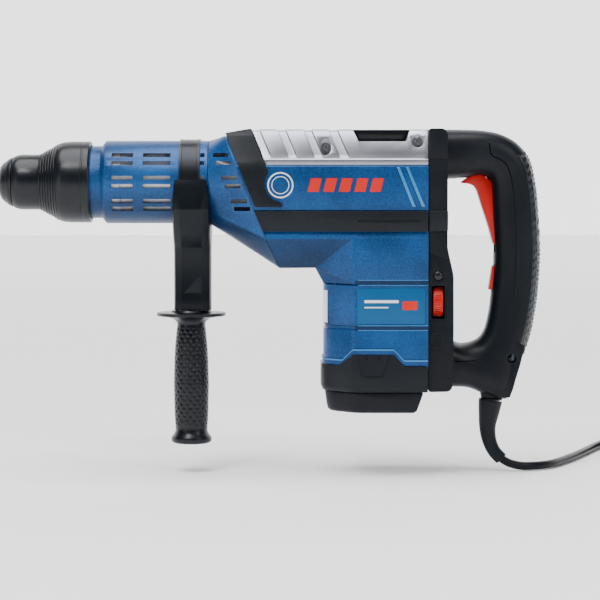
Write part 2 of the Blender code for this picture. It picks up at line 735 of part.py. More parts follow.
def electronics():
    profile = [(-38.0, 0), (-38.0, 3.6), (-46.2, 3.6), (-47.6, 1.8), (-47.6, 0)]
    add("service_lamp", turned(profile, 16, "Y", (391.5, -82.3)), "lamp_lens")
    add("control_board", box((388.0, -16.0, -150.0), (390.0, 38.0, -70.0)), "circuit_board")
    add("switch_module", box((458.5, -11.0, -62.0), (472.5, 11.0, -8.0)), "black_plastic")


# Each stop of the handle is its outer point, its inner point and its half-width.
HANDLE_STOPS = (
    ((399.7, 47.2), (399.7, 2.7), 29.0),
    ((418.5, 46.8), (418.5, 3.6), 27.0),
    ((433.8, 46.0), (429.5, 7.0), 25.0),
    ((450.0, 42.6), (437.3, 4.2), 23.0),
    ((464.4, 34.6), (440.6, -1.4), 21.5),
    ((475.2, 20.5), (441.0, -7.0), 20.0),
    ((480.6, -0.9), (441.5, -17.0), 19.0),
    ((483.3, -25.2), (442.3, -32.0), 19.0),
    ((485.1, -56.7), (443.7, -56.7), 19.0),
    ((484.5, -79.2), (443.6, -77.4), 19.0),
    ((482.8, -101.7), (441.5, -101.7), 19.0),
    ((480.1, -119.7), (439.4, -117.5), 19.5),
    ((476.1, -138.6), (436.3, -130.6), 20.5),
    ((467.4, -163.8), (431.4, -139.0), 22.0),
    ((458.0, -193.4), (425.5, -142.6), 23.5),
    ((437.0, -190.6), (419.0, -144.4), 25.0),
    ((421.0, -184.6), (412.5, -144.4), 27.0),
    ((404.0, -183.6), (404.0, -140.5), 29.0),
)


def handle_skin(inset=0.0, count=14):
    """The C of upper arm, grip and lower arm as one skin through its stops."""
    rings = []
    for outer, inner, half_width in HANDLE_STOPS:
        middle = Vector(((outer[0] + inner[0]) / 2, (outer[1] + inner[1]) / 2))
        half = Vector(((outer[0] - inner[0]) / 2, (outer[1] - inner[1]) / 2))
        reach = (half.length - inset) / half.length
        ring_points = []
        for across, out in squircle(half_width - inset, 1.0, 2.7, count):
            at = middle + half * (out * reach)
            ring_points.append((at.x, across, at.y))
        rings.append(ring_points)
    return rings


def pad_region(grow):
    outline = [(474.6 - grow, 9.0 + grow), (474.0 - grow, -16.0), (478.2 - grow, -70.0)]
    outline += [(474.8 - grow, -143.0 - grow), (520.0, -143.0 - grow), (520.0, 9.0 + grow)]
    return prism(outline, -40.0, 40.0, "XZ")


def handle_shells():
    rear = prism(rear_outline(GAP), -70.0, 70.0, "XZ")
    sides = (("left", -60.0, -GAP / 2), ("right", GAP / 2, 60.0))
    for side, low, high in sides:
        made = add("handle_" + side, lofted(handle_skin()), "black_plastic")
        keep_inside(made, "handle_half_" + side, box((380.0, low, -230.0), (520.0, high, 80.0)))
        cut(made, "handle_inside_" + side, lofted(extended(handle_skin(3.2), 8.0, -8.0)))
        cut(made, "handle_front_" + side, rear)
        cut(made, "pad_room_" + side, pad_region(GAP))
        cut(made, "trigger_slot_" + side, box((416.0, -8.4, -57.6), (453.0, 8.4, 8.4)))
        cut(made, "lock_slot_" + side, box((430.0, -6.8, -98.6), (452.0, 6.8, -73.6)))
        cut(made, "gland_hole_" + side, rod(-205.0, -180.0, 8.8, "Z", (441.9, 0.0), 20))


def grip_pad():
    made = add("grip_pad", lofted(handle_skin()), "black_rubber")
    keep_inside(made, "pad_region", pad_region(0.0))


def trigger():
    outline = [(414.9, -0.9), (423.0, 4.5), (430.2, 6.6), (435.6, 5.4), (439.6, 2.2)]
    outline += [(447.5, -2.0), (448.0, -50.0), (445.5, -56.0), (443.2, -55.4), (438.3, -37.8)]
    outline += [(432.0, -18.9), (428.4, -7.2), (425.7, -3.1), (421.2, -1.4)]
    made = add("trigger", prism(outline, -7.5, 7.5, "XZ"), "red_plastic", (444.6, 0.0, -53.0))
    bevel(made, 1.4, 2)


def lock_button():
    outline = [(442.4, -74.7), (446.0, -74.7), (446.0, -97.2), (439.2, -96.6)]
    made = add("lock_button", prism(outline, -6.0, 6.0, "XZ"), "red_plastic")
    bevel(made, 1.0, 1)


# ---------------------------------------------------------------- side handle


def clamp_band():
    low = SIDE_X - BAND_WIDTH / 2
    shape = ring(low, low + BAND_WIDTH, BARREL_RADIUS + GAP, BARREL_RADIUS + 1.5, steps=32)
    add("clamp_band", shape, "blackened_steel")


def side_yoke():
    """The saddle under the barrel and the stem that the clamping bolt runs down."""
    outline = [(-42.0, 3.0), (42.0, 3.0), (42.0, -26.0), (33.0, -44.0), (17.0, -58.0)]
    outline += [(15.5, -114.4), (-15.5, -114.4), (-17.0, -58.0), (-33.0, -44.0), (-42.0, -26.0)]
    made = add("side_yoke", prism(outline, YOKE_FRONT, YOKE_BACK, "YZ"), "black_plastic")
    bevel(made, 3.5, 1, 50)
    cut(made, "barrel_seat", rod(140.0, 200.0, BARREL_RADIUS + 2.0, "X", (0.0, 0.0), 32))
    cut(made, "bolt_hole", rod(-130.0, -30.0, 4.6, "Z", (SIDE_X, 0.0), 16))


def tie_bolt():
    profile = [(-152.0, 0), (-152.0, 4.0), (-42.0, 4.0), (-42.0, 4.4), (-39.2, 4.4), (-39.2, 0)]
    add("tie_bolt", turned(profile, 16, "Z", (SIDE_X, 0.0)), "steel")


def side_grip():
    profile = [(-155.0, 0), (-155.0, 4.6), (-114.9, 4.6), (-114.9, 15.4), (-117.6, 16.0)]
    profile += [(-117.6, 30.6), (-119.1, 31.0), (-120.6, 30.6), (-121.4, 16.0), (-126.0, 12.5)]
    profile += [(-135.0, 13.4), (-146.0, 14.5), (-160.0, 15.3), (-182.0, 15.8), (-206.0, 15.3)]
    profile += [(-223.0, 14.4)]
    profile += [(-227.0, 16.0), (-229.0, 18.0), (-232.0, 18.0), (-234.9, 15.6), (-234.9, 0)]
    shape = turned(profile, 20, "Z", (SIDE_X, 0.0))
    add("side_grip", shape, "black_rubber", (SIDE_X, 0.0, -114.9))


# ---------------------------------------------------------------- mains cord

# Middle line of the strain relief, then of the cord from its end to the coil.
RELIEF_STOPS = (
    (441.6, 0.0, -198.2),
    (440.2, 0.0, -207.0),
    (439.2, 0.0, -219.5),
    (440.6, 0.0, -231.5),
    (445.0, 0.0, -242.0),
    (451.8, 0.0, -249.6),
)
CORD_STOPS = (
    (459.8, 0.4, -253.8),
    (470.0, 1.2, -256.2),
    (481.0, 4.2, -256.6),
    (490.6, 10.2, -256.6),
    (498.8, 19.0, -256.6),
    (506.4, 32.0, -256.6),
    (520.4, 61.0, -256.6),
    (536.4, 99.5, -256.6),
    (554.0, 146.0, -256.6),
    (567.5, 178.0, -256.6),
    (580.7, 209.1, -256.6),
)


def cable_gland():
    profile = [(-184.0, 0), (-184.0, 8.4), (-194.2, 8.4), (-194.2, 10.6), (-196.2, 10.6)]
    profile += [(-196.2, 0)]
    add("cable_gland", turned(profile, 20, "Z", (441.9, 0.0)), "black_rubber")


def strain_relief():
    path = smooth_path(RELIEF_STOPS + CORD_STOPS, 15, 0, len(RELIEF_STOPS) - 1)
    shape = tapered(path, (10.8, 9.6, 7.6, 6.6, 6.0, 5.9, 6.2))
    add("strain_relief", shape, "black_rubber")


def cord_lead():
    curve = bpy.data.curves.new("cord_lead", "CURVE")
    curve.dimensions = "3D"
    curve.bevel_depth = CORD_RADIUS * MM
    curve.bevel_resolution = 2
    curve.use_fill_caps = True
    spline = curve.splines.new("POLY")
    path = smooth_path(RELIEF_STOPS + CORD_STOPS, 18, len(RELIEF_STOPS) - 1)
    path[0] = path[0].lerp(path[1], 0.1)
    spline.points.add(len(path) - 1)
    for point, place in zip(spline.points, path):
        point.co = (*(place * MM), 1.0)
    curve.materials.append(MATERIALS["black_rubber"])
    made = bpy.data.objects.new("cord_lead", curve)
    made.parent = FRAME
    bpy.context.scene.collection.objects.link(made)


def cord_coil():
    low, high = FLOOR + GAP, FLOOR + COIL_HEIGHT
    profile = [(low, COIL_INNER), (low, COIL_OUTER), (high, COIL_OUTER), (high, COIL_INNER)]
    add("cord_coil", turned(profile, 28, "Z", COIL_CENTRE), "black_rubber")


def mains_plug():
    """A round moulded plug with two pins, lying on its side where the cord leaves the coil."""
    middle = (COIL_CENTRE[0] + COIL_TURN, FLOOR + PLUG_RADIUS + GAP)
    start = COIL_CENTRE[1] - PLUG_RUN
    profile = [(0.0, 0), (0.0, 5.2), (16.0, 6.0), (20.0, 12.0), (27.0, PLUG_RADIUS)]
    profile += [(47.0, PLUG_RADIUS), (50.0, PLUG_RADIUS - 1.2), (50.0, 0)]
    shape = turned([(start - along, radius) for along, radius in profile], 20, "Y", middle)
    made = add("mains_plug", shape, "black_rubber")
    for side, shift in (("one", -9.5), ("two", 9.5)):
        pin_middle = (middle[0] + shift, middle[1])
        join(made, "plug_pin_" + side, rod(start - 69.0, start - 48.0, 2.4, "Y", pin_middle, 10))


# ---------------------------------------------------------------- assembly


def build():
    dust_cap()
    locking_sleeve()
    sleeve_spring()
    tool_holder()
    locking_bodies()
    hammer_tube()
    crown_gear()
    front_bearing()
    impact_bolt()
    striker()
    piston_group()
    crank_gear()
    intermediate_gear()
    bearing_plate()
    armature()
    motor_parts()
    front_barrel()
    inner_tube()
    front_cone()
    gear_housing()
    bumper_guard()
    top_cover()
    mode_selector()
    cover_screws()
    side_strips()
    motor_housing()
    base_parts()
    rear_housing()
    speed_dial()
    electronics()
    handle_shells()
    grip_pad()
    trigger()
    lock_button()
    clamp_band()
    side_yoke()
    tie_bolt()
    side_grip()
    cable_gland()
    strain_relief()
    cord_lead()
    cord_coil()
    mains_plug()


clear_scene()
make_materials()
FRAME = bpy.data.objects.new("tool_frame", None)
FRAME.location = [-value * MM for value in GRIP_CENTRE]
bpy.context.scene.collection.objects.link(FRAME)
build()
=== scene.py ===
"""The looks of the rotary hammer: its visible surfaces, its cord, the floor, light and camera.

Shapes are given in tool millimetres, as in the CAD: X runs back from the nose along the hammer
axis, -Y is the side with the speed dial, and Z is the height above the axis.
"""

from math import atan2, copysign, cos, hypot, pi, radians, sin

import bmesh
import bpy
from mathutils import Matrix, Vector


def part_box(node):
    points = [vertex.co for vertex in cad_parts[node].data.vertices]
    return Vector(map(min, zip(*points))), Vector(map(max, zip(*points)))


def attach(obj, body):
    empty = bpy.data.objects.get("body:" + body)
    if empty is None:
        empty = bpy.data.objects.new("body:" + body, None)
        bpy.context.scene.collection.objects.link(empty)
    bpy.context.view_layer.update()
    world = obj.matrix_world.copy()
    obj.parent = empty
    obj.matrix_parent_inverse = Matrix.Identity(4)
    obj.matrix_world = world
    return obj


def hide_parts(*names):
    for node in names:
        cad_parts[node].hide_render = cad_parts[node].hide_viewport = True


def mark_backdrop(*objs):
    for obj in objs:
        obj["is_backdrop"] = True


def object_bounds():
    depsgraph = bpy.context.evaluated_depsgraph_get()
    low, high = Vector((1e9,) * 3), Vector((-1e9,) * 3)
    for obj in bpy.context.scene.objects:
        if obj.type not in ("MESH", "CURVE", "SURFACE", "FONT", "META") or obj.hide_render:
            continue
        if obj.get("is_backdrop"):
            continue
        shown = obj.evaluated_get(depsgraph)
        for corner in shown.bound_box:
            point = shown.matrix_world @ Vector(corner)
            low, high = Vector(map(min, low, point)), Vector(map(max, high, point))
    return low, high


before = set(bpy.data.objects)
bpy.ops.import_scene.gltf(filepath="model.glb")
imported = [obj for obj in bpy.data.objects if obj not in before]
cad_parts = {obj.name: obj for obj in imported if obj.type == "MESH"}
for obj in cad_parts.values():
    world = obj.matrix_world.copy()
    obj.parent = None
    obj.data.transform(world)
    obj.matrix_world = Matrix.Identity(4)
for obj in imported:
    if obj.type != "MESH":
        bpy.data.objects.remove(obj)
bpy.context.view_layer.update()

MM = 0.001
DUST_CAP_START = 1.5
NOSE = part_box("dust_cap")[0][0] - DUST_CAP_START * MM
AXIS = (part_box("front_barrel")[0][2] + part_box("front_barrel")[1][2]) / 2
FLOOR = -260.5
SEAM_AT_AXIS, SEAM_SLOPE = 219.1, -0.42
CASE_REAR = 382.7
FINISHES = {}
# near-black blue that down-facing faces are darkened towards, as painted shade under the tool
PAINTED_UNDERSIDE_SHADE = (0.001, 0.002, 0.005)


# ---- building blocks


def at(x, y, z):
    """Tool millimetres to a point in the row frame, in metres."""
    return Vector((NOSE + x * MM, y * MM, AXIS + z * MM))


def linked(name, data):
    """A new object, in the scene."""
    made = bpy.data.objects.new(name, data)
    bpy.context.scene.collection.objects.link(made)
    return made


def loose(name, shape):
    """An object from (points, faces), without a finish or a body."""
    points, faces = shape
    mesh = bpy.data.meshes.new(name)
    mesh.from_pydata([at(*point) for point in points], [], faces)
    work = bmesh.new()
    work.from_mesh(mesh)
    bmesh.ops.recalc_face_normals(work, faces=work.faces)
    work.to_mesh(mesh)
    work.free()
    return linked(name, mesh)


def settle(target, sharp=35):
    """Puts the result of a piece's modifiers into its mesh, and sets which edges are sharp."""
    bpy.context.view_layer.update()
    graph = bpy.context.evaluated_depsgraph_get()
    mesh = bpy.data.meshes.new_from_object(target.evaluated_get(graph))
    target.modifiers.clear()
    target.data = mesh
    mesh.shade_smooth()
    mesh.set_sharp_from_angle(angle=radians(sharp))


def carve(target, *shapes, operation="DIFFERENCE"):
    """Cuts, joins or intersects a piece with shapes or objects, one after the other."""
    for shape in shapes:
        cutter = shape if isinstance(shape, bpy.types.Object) else loose("cutter", shape)
        step = target.modifiers.new("carve", "BOOLEAN")
        step.operation = operation
        step.solver = "EXACT"
        step.object = cutter
        settle(target)
        bpy.data.objects.remove(cutter)


def soften(target, width, segments, angle, sharp):
    """Rounds a piece's hard edges."""
    step = target.modifiers.new("bevel", "BEVEL")
    step.width = width * MM
    step.segments = segments
    step.limit_method = "ANGLE"
    step.angle_limit = radians(angle)
    settle(target, sharp)


def dress(made, finish, instead_of="", body="tool"):
    """Gives a piece its finish, the CAD nodes it stands for and the body it rides on."""
    made.data.materials.clear()
    made.data.materials.append(FINISHES[finish])
    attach(made, body)
    if instead_of:
        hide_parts(*instead_of.split())
    return made


def piece(name, shape, finish, instead_of="", body="tool", within=(), joins=(), cuts=(),
          round_by=0.0, segments=3, angle=28, sharp=35):
    """A dressed piece: a shape kept within others, joined to others, cut and rounded."""
    made = loose(name, shape)
    settle(made, sharp)
    carve(made, *within, operation="INTERSECT")
    carve(made, *joins, operation="UNION")
    carve(made, *cuts)
    if round_by:
        soften(made, round_by, segments, angle, sharp)
    return dress(made, finish, instead_of, body)


def merged(*shapes):
    points, faces = [], []
    for more_points, more_faces in shapes:
        start = len(points)
        points += more_points
        faces += [[start + index for index in face] for face in more_faces]
    return points, faces


def prism(outline, low, high, plane="XZ"):
    """A flat outline extruded along the axis that its plane leaves out."""

    def place(u, v, w):
        return {"XZ": (u, w, v), "XY": (u, v, w), "YZ": (w, u, v)}[plane]

    count = len(outline)
    points = [place(u, v, low) for u, v in outline] + [place(u, v, high) for u, v in outline]
    faces = [[i, (i + 1) % count, count + (i + 1) % count, count + i] for i in range(count)]
    faces += [list(range(count)), list(range(2 * count - 1, count - 1, -1))]
    return points, faces


def box(low, high):
    return prism(rectangle(low[0], low[1], high[0], high[1]), low[2], high[2], "XY")


def both(outline, near, far):
    """An outline in side view, extruded from near to far on both sides of the tool."""
    return merged(*[prism(outline, *sorted((sign * near, sign * far))) for sign in (-1, 1)])


def circle(steps):
    """The cosine and sine of each step round a full turn."""
    angles = [2 * pi * step / steps for step in range(steps)]
    return [(cos(angle), sin(angle)) for angle in angles]


def filleted(outline, radius, parts=4):
    """The outline with each corner replaced by a short curve."""
    rounded = []
    for i, corner in enumerate(outline):
        here = Vector(corner)
        before = Vector(outline[i - 1]) - here
        after = Vector(outline[(i + 1) % len(outline)]) - here
        start = here + before.normalized() * min(radius, 0.45 * before.length)
        end = here + after.normalized() * min(radius, 0.45 * after.length)
        for part in range(parts + 1):
            t = part / parts
            rounded.append(tuple((1 - t) ** 2 * start + 2 * t * (1 - t) * here + t * t * end))
    return rounded


def rectangle(x1, z1, x2, z2, radius=0.0):
    outline = [(x1, z1), (x2, z1), (x2, z2), (x1, z2)]
    return filleted(outline, radius) if radius else outline


def lathe(profile, steps=96, axis="X", centre=(0.0, 0.0)):
    """A profile of (along, radius) turned about an axis. A radius of 0 lies on the axis."""
    points, rows = [], []
    for along, radius in profile:
        rows.append([])
        for c, s in circle(steps) if radius > 1e-6 else [(1.0, 0.0)]:
            u, v = centre[0] + radius * c, centre[1] + radius * s
            rows[-1].append(len(points))
            points.append({"X": (along, u, v), "Y": (u, along, v), "Z": (u, v, along)}[axis])
    faces = []
    on_axis = any(radius <= 1e-6 for _, radius in profile)
    for first, second in zip(rows, rows[1:] + ([] if on_axis else rows[:1])):
        for step in range(steps):
            after = (step + 1) % steps
            corners = [first[step % len(first)], first[after % len(first)]]
            corners += [second[after % len(second)], second[step % len(second)]]
            corners = list(dict.fromkeys(corners))
            if len(corners) > 2:
                faces.append(corners)
    return points, faces


def both_lathes(profile, steps, x, z):
    """A profile of (distance from the tool's middle, radius), turned on both its sides."""
    return merged(*[lathe([(sign * reach, radius) for reach, radius in profile], steps, "Y", (x, z))
                    for sign in (-1, 1)])


def mirrored_ring(points):
    """(x, y, z) points down one side, closed with their mirror image."""
    return list(points) + [(x, -y, z) for x, y, z in reversed(points) if y > 0]


def headings(line):
    """The direction of a line at each of its points."""
    line = [Vector(point) for point in line]
    return [(after - before).normalized()
            for before, after in zip(line[:1] + line, line[1:] + line[-1:])]


def track(path, half_width):
    """The outline of a groove that follows a line."""
    left, right = [], []
    for (x, z), ahead in zip(path, headings(path)):
        left.append((x - ahead.y * half_width, z + ahead.x * half_width))
        right.append((x + ahead.y * half_width, z - ahead.x * half_width))
    return left + right[::-1]


def lofted(rings, closed_ends=True):
    """A skin through rings of equally many points. Its quads are split along one diagonal."""
    count = len(rings[0])
    points = [tuple(point) for ring in rings for point in ring]
    faces = []
    if closed_ends:
        faces = [list(range(count)), list(range(len(points) - count, len(points)))]
    for start in range(0, len(points) - count, count):
        for i in range(count):
            after = (i + 1) % count
            faces.append([start + i, start + after, start + count + after])
            faces.append([start + i, start + count + after, start + count + i])
    return points, faces


def smooth_curve(stops, parts):
    """A smooth curve through the stops, with as many parts between each two."""
    stops = [Vector(stop) for stop in stops]
    ends = [2 * stops[0] - stops[1]] + stops + [2 * stops[-1] - stops[-2]]
    curve = []
    for a, b, c, d in zip(ends, ends[1:], ends[2:], ends[3:]):
        for t in [part / parts for part in range(parts)]:
            curve.append(0.5 * (2 * b + (c - a) * t + (2 * a - 5 * b + 4 * c - d) * t * t
                                + (3 * b - a - 3 * c + d) * t**3))
    return curve + [stops[-1]]


def smoothstep(t):
    t = min(max(t, 0.0), 1.0)
    return t * t * (3 - 2 * t)


# ---- finishes


class Nodes:
    """Short forms for the few shader nodes that the finishes use."""

    def __init__(self, name):
        self.material = bpy.data.materials.new(name)
        self.material.use_nodes = True
        self.tree = self.material.node_tree
        self.shader = self.tree.nodes["Principled BSDF"]
        self.place = self.tree.nodes.new("ShaderNodeTexCoord").outputs["Object"]

    def feed(self, node, inputs):
        """Sets a node's inputs, each from a value or from another node's output."""
        for name, value in inputs.items():
            socket = node.inputs[name]
            if isinstance(value, bpy.types.NodeSocket):
                self.tree.links.new(value, socket)
            else:
                socket.default_value = (*value, 1.0) if socket.type == "RGBA" else value

    def add(self, kind, inputs):
        made = self.tree.nodes.new("ShaderNode" + kind)
        self.feed(made, inputs)
        return made

    def noise(self, scale, detail, roughness, stretch=None):
        place = self.place
        if stretch:
            place = self.add("Mapping", {"Vector": place, "Scale": stretch}).outputs["Vector"]
        return self.add("TexNoise", {"Vector": place, "Scale": scale, "Detail": detail,
                                     "Roughness": roughness}).outputs["Fac"]

    def ramp(self, value, low, high):
        """A value turned into a colour or a grey, between two (position, colour) ends."""
        made = self.add("ValToRGB", {"Fac": value})
        for element, (position, colour) in zip(made.color_ramp.elements, (low, high)):
            element.position = position
            element.color = (*(colour if hasattr(colour, "__len__") else (colour,) * 3), 1.0)
        return made.outputs["Color"]

    def mix(self, amount, first, second):
        made = self.tree.nodes.new("ShaderNodeMix")
        made.data_type = "RGBA"
        self.feed(made, {"Factor": amount, 6: first, 7: second})
        return made.outputs[2]

    def geometry(self, output):
        return self.tree.nodes.new("ShaderNodeNewGeometry").outputs[output]

    def edges(self):
        """How much a place stands out, from 0 in the flat to 1 on an edge."""
        return self.ramp(self.geometry("Pointiness"), (0.52, 0.0), (0.60, 1.0))

    def facing_down(self):
        """How far a place faces down, from 0 upright to 1."""
        parts = self.add("SeparateXYZ", {"Vector": self.geometry("Normal")})
        spread = self.add("MapRange", {"From Min": -0.05, "From Max": -0.6,
                                       "Value": parts.outputs["Z"]})
        return self.ramp(spread.outputs["Result"], (0.0, 0.0), (1.0, 1.0))


def finish(key, slot, base, rough, metallic=0.0, variation=0.12, grain=0.25, depth=0.04,
           wear=0.12, coat=0.0, specular=0.5, stretch=None, kept_in_painted_underside_shade=1.0):
    """A moulded, painted or machined surface.

    grain is the size of its texture and depth its height, both in millimetres; variation is
    how far its colour drifts, and wear how much its edges are rubbed lighter. The last
    argument is how much of its colour is left where it faces down; the rest there is
    painted shade, darkened towards a near-black blue for the shade under the tool.
    """
    nodes = Nodes(key)
    fine = nodes.noise(1.0 / (grain * 4 * MM), 4.0, 0.7, stretch)
    broad = nodes.noise(22.0, 3.0, 0.55)
    darker = [value * (1 - variation) for value in base]
    lighter = [min(1.0, value * (1 + variation) + 0.002) for value in base]
    drift = nodes.ramp(broad, (0.3, darker), (0.7, lighter))
    speck = nodes.ramp(fine, (0.35, darker), (0.65, lighter))
    body = nodes.mix(0.5, drift, speck)
    worn = nodes.mix(wear, body, [min(1.0, value * 1.6 + 0.02) for value in base])
    body = nodes.mix(nodes.edges(), body, worn)
    # painted shade: faces that turn down are darkened towards a near-black blue
    if kept_in_painted_underside_shade < 1.0:
        body = nodes.mix(nodes.facing_down(), body, nodes.mix(1.0 - kept_in_painted_underside_shade, body, PAINTED_UNDERSIDE_SHADE))
    bump = nodes.add("Bump", {"Distance": depth * MM, "Strength": 0.8, "Height": fine})
    nodes.feed(nodes.shader, {
        "Base Color": body,
        "Roughness": nodes.ramp(broad, (0.25, rough * 0.86), (0.75, min(1.0, rough * 1.14))),
        "Metallic": metallic,
        "Specular IOR Level": specular,
        "Coat Weight": coat,
        "Coat Roughness": 0.12,
        "Normal": bump.outputs["Normal"],
    })
    FINISHES[key] = nodes.material


FINISH_ROWS = (
    # blue_textured keeps 0.42 of its colour on down-facing faces; the rest there is painted shade
    ("blue_textured", "blue_plastic", (0.0055, 0.058, 0.19), 0.36, 0.25, 0.62, 0.5, 0.16, 0.3,
     0.0, 0.25, None, 0.42),
    ("blue_smooth", "blue_plastic", (0.007, 0.085, 0.225), 0.36, 0.1, 0.12, 0.12, 0.008, 0.2,
     0.0, 0.2),
    # a lighter blue: pale trim on the lip bead, and painted highlight on the ribs and groove lips
    ("pale_blue_trim_and_painted_highlight", "blue_plastic", (0.03, 0.20, 0.46), 0.30, 0.2, 0.10, 0.15, 0.02, 0.3, 0.1, 0.4),
    # a dark blue used as painted shadow in the motor case's grooves
    ("blue_painted_groove_shadow", "blue_plastic", (0.002, 0.016, 0.055), 0.4, 0.1, 0.3, 0.4, 0.08, 0.2, 0.0, 0.2),
    ("black_textured", "black_plastic", (0.0045, 0.006, 0.009), 0.42, 0.0, 0.4, 0.35, 0.16,
     0.12, 0.0, 0.16),
    ("black_satin", "black_plastic", (0.003, 0.005, 0.008), 0.32, 0.0, 0.2, 0.12, 0.015, 0.12,
     0.0, 0.16),
    ("dark_gloss", "black_plastic", (0.002, 0.003, 0.005), 0.18, 0.0, 0.15, 0.1, 0.006, 0.2,
     0.1, 0.2),
    ("rubber_soft", "black_rubber", (0.004, 0.0055, 0.0085), 0.40, 0.0, 0.25, 0.16, 0.03, 0.12,
     0.0, 0.16),
    ("rubber_grain", "black_rubber", (0.005, 0.007, 0.010), 0.44, 0.0, 0.4, 0.4, 0.18, 0.12,
     0.0, 0.22),
    ("pad_rubber", "black_rubber", (0.005, 0.007, 0.010), 0.3, 0.0, 0.3, 0.3, 0.08, 0.12, 0.0, 0.5),
    ("rubber_shine", "black_rubber", (0.004, 0.0055, 0.0085), 0.3, 0.0, 0.3, 0.3, 0.05, 0.12,
     0.0, 0.28),
    ("cord_sheath", "black_rubber", (0.003, 0.004, 0.006), 0.36, 0.0, 0.2, 0.15, 0.02, 0.1,
     0.0, 0.16),
    ("silver", "silver_cover", (0.30, 0.31, 0.35), 0.32, 0.85, 0.04, 0.12, 0.012, 0.5, 0.1),
    ("silver_light", "silver_cover", (0.55, 0.56, 0.60), 0.30, 0.5, 0.03, 0.12, 0.008, 0.5, 0.15),
    ("red", "red_plastic", (0.52, 0.006, 0.003), 0.34, 0.0, 0.08, 0.15, 0.012, 0.25, 0.0, 0.3),
    ("band_steel", "blackened_steel", (0.014, 0.016, 0.021), 0.34, 0.7, 0.3, 0.3, 0.015, 0.8,
     0.0, 0.5, (1.0, 8.0, 8.0)),
    ("steel", "steel", (0.46, 0.46, 0.48), 0.28, 1.0, 0.1, 0.3, 0.006, 0.5,
     0.0, 0.5, (1.0, 6.0, 1.0)),
    ("steel_dark", "steel", (0.16, 0.16, 0.17), 0.32, 1.0, 0.15, 0.25, 0.008, 0.8),
    ("cast_aluminium", "aluminium", (0.74, 0.68, 0.72), 0.44, 0.5, 0.12, 0.3, 0.03, 0.4),
    ("copper", "copper", (0.62, 0.28, 0.15), 0.32, 1.0, 0.2, 0.25, 0.05, 0.4,
     0.0, 0.5, (1.0, 1.0, 9.0)),
    ("carbon", "carbon", (0.03, 0.03, 0.03), 0.75, 0.0, 0.3, 0.15, 0.02, 0.2),
    ("board", "circuit_board", (0.02, 0.14, 0.05), 0.45, 0.0, 0.3, 0.4, 0.02, 0.3, 0.3),
    ("smoked_lens", "lamp_lens", (0.010, 0.012, 0.016), 0.2, 0.0, 0.15, 0.1, 0.003, 0.2, 0.0, 0.3),
    ("white_print", "silver_cover", (0.72, 0.78, 0.84), 0.4, 0.0, 0.03, 0.1, 0.004, 0.1),
    ("dark_print", "black_plastic", (0.02, 0.004, 0.004), 0.5, 0.0, 0.1, 0.1, 0.004, 0.1),
)


def finish_inner_nodes():
    """The CAD nodes that stay get a detailed finish in place of their flat one."""
    chosen = {
        "steel": "hammer_tube crown_gear impact_bolt striker wrist_pin crank_gear "
                 "intermediate_gear armature_shaft upper_motor_bearing lower_motor_bearing "
                 "front_bearing locking_body_upper locking_body_lower sleeve_spring "
                 "shift_fork tie_bolt",
        "steel_dark": "stator tool_holder",
        "cast_aluminium": "bearing_plate piston connecting_rod",
        "copper": "armature_core commutator",
        "carbon": "carbon_brush_left carbon_brush_right",
        "board": "control_board",
        "black_satin": "switch_module cooling_fan",
    }
    for key, names in chosen.items():
        for name in names.split():
            for place in bpy.data.objects[name].material_slots:
                place.material = FINISHES[key]


# ---- camera, cord, plug

CORD_DIAMETER = 7.5
CORD_EXIT = (451.8, 0.0, -249.6)
CORD_STOPS = [(459.8, 0.4, -253.8), (470.0, 1.2, -256.2), (481.0, 4.2, -256.5),
              (490.6, 10.2, -256.5), (498.8, 19.0, -256.5), (506.4, 32.0, -256.5),
              (520.4, 61.0, -256.5), (536.4, 99.5, -256.5), (554.0, 146.0, -256.5),
              (567.5, 178.0, -256.5), (580.7, 209.1, -256.5)]
COIL_CENTRE = (645.0, 216.0)
COIL_RADIUS = 56.5
COIL_PITCH = 7.6
COIL_ROW = 7.5
COIL_LOW = FLOOR + 4.05
COIL_START = radians(157.0)
COIL_ROWS = ((3.0, -1), (3.0, 1), (3.218, -1), (3.218, 1))
PLUG_X = COIL_CENTRE[0] + COIL_RADIUS
PLUG_Y = 164.5
PLUG_Z = FLOOR + 18.3


def add_camera():
    data = bpy.data.cameras.new("camera")
    data.lens = 133.5
    data.sensor_width = 36.0
    camera = linked("camera", data)
    camera.location = at(270, -2000, 0)
    aim = at(270, 0, -106) - camera.location
    camera.rotation_euler = aim.to_track_quat("-Z", "Y").to_euler()
    bpy.context.scene.camera = camera


def coil_line():
    """The hank of cord: rows that wind in and out, each climbing to the next."""
    line = []
    wound, radius = 0.0, COIL_RADIUS
    climbs = [sum(turns for turns, _ in COIL_ROWS[:row]) for row in (1, 2, 3)]
    for turns, way in COIL_ROWS:
        steps = round(turns * 56)
        for step in range(1, steps + 1):
            turned = wound + turns * step / steps
            reach = radius + way * COIL_PITCH * turns * step / steps
            angle = COIL_START - 2 * pi * turned
            climbed = sum(smoothstep((turned - climb + 0.25) / 0.5) for climb in climbs)
            x = COIL_CENTRE[0] + reach * cos(angle)
            y = COIL_CENTRE[1] + reach * sin(angle)
            line.append((x, y, COIL_LOW + COIL_ROW * climbed))
        wound += turns
        radius += way * COIL_PITCH * turns
    return line


def cord_line():
    line = [tuple(point) for point in smooth_curve([CORD_EXIT, *CORD_STOPS], 8)] + coil_line()
    start = line[-1]
    drop = 40
    for step in range(1, drop + 1):
        y = start[1] + (PLUG_Y - start[1]) * step / drop
        down = smoothstep((204.0 - y) / (204.0 - 166.0))
        line.append((PLUG_X, y, start[2] + (PLUG_Z - start[2]) * down))
    return line


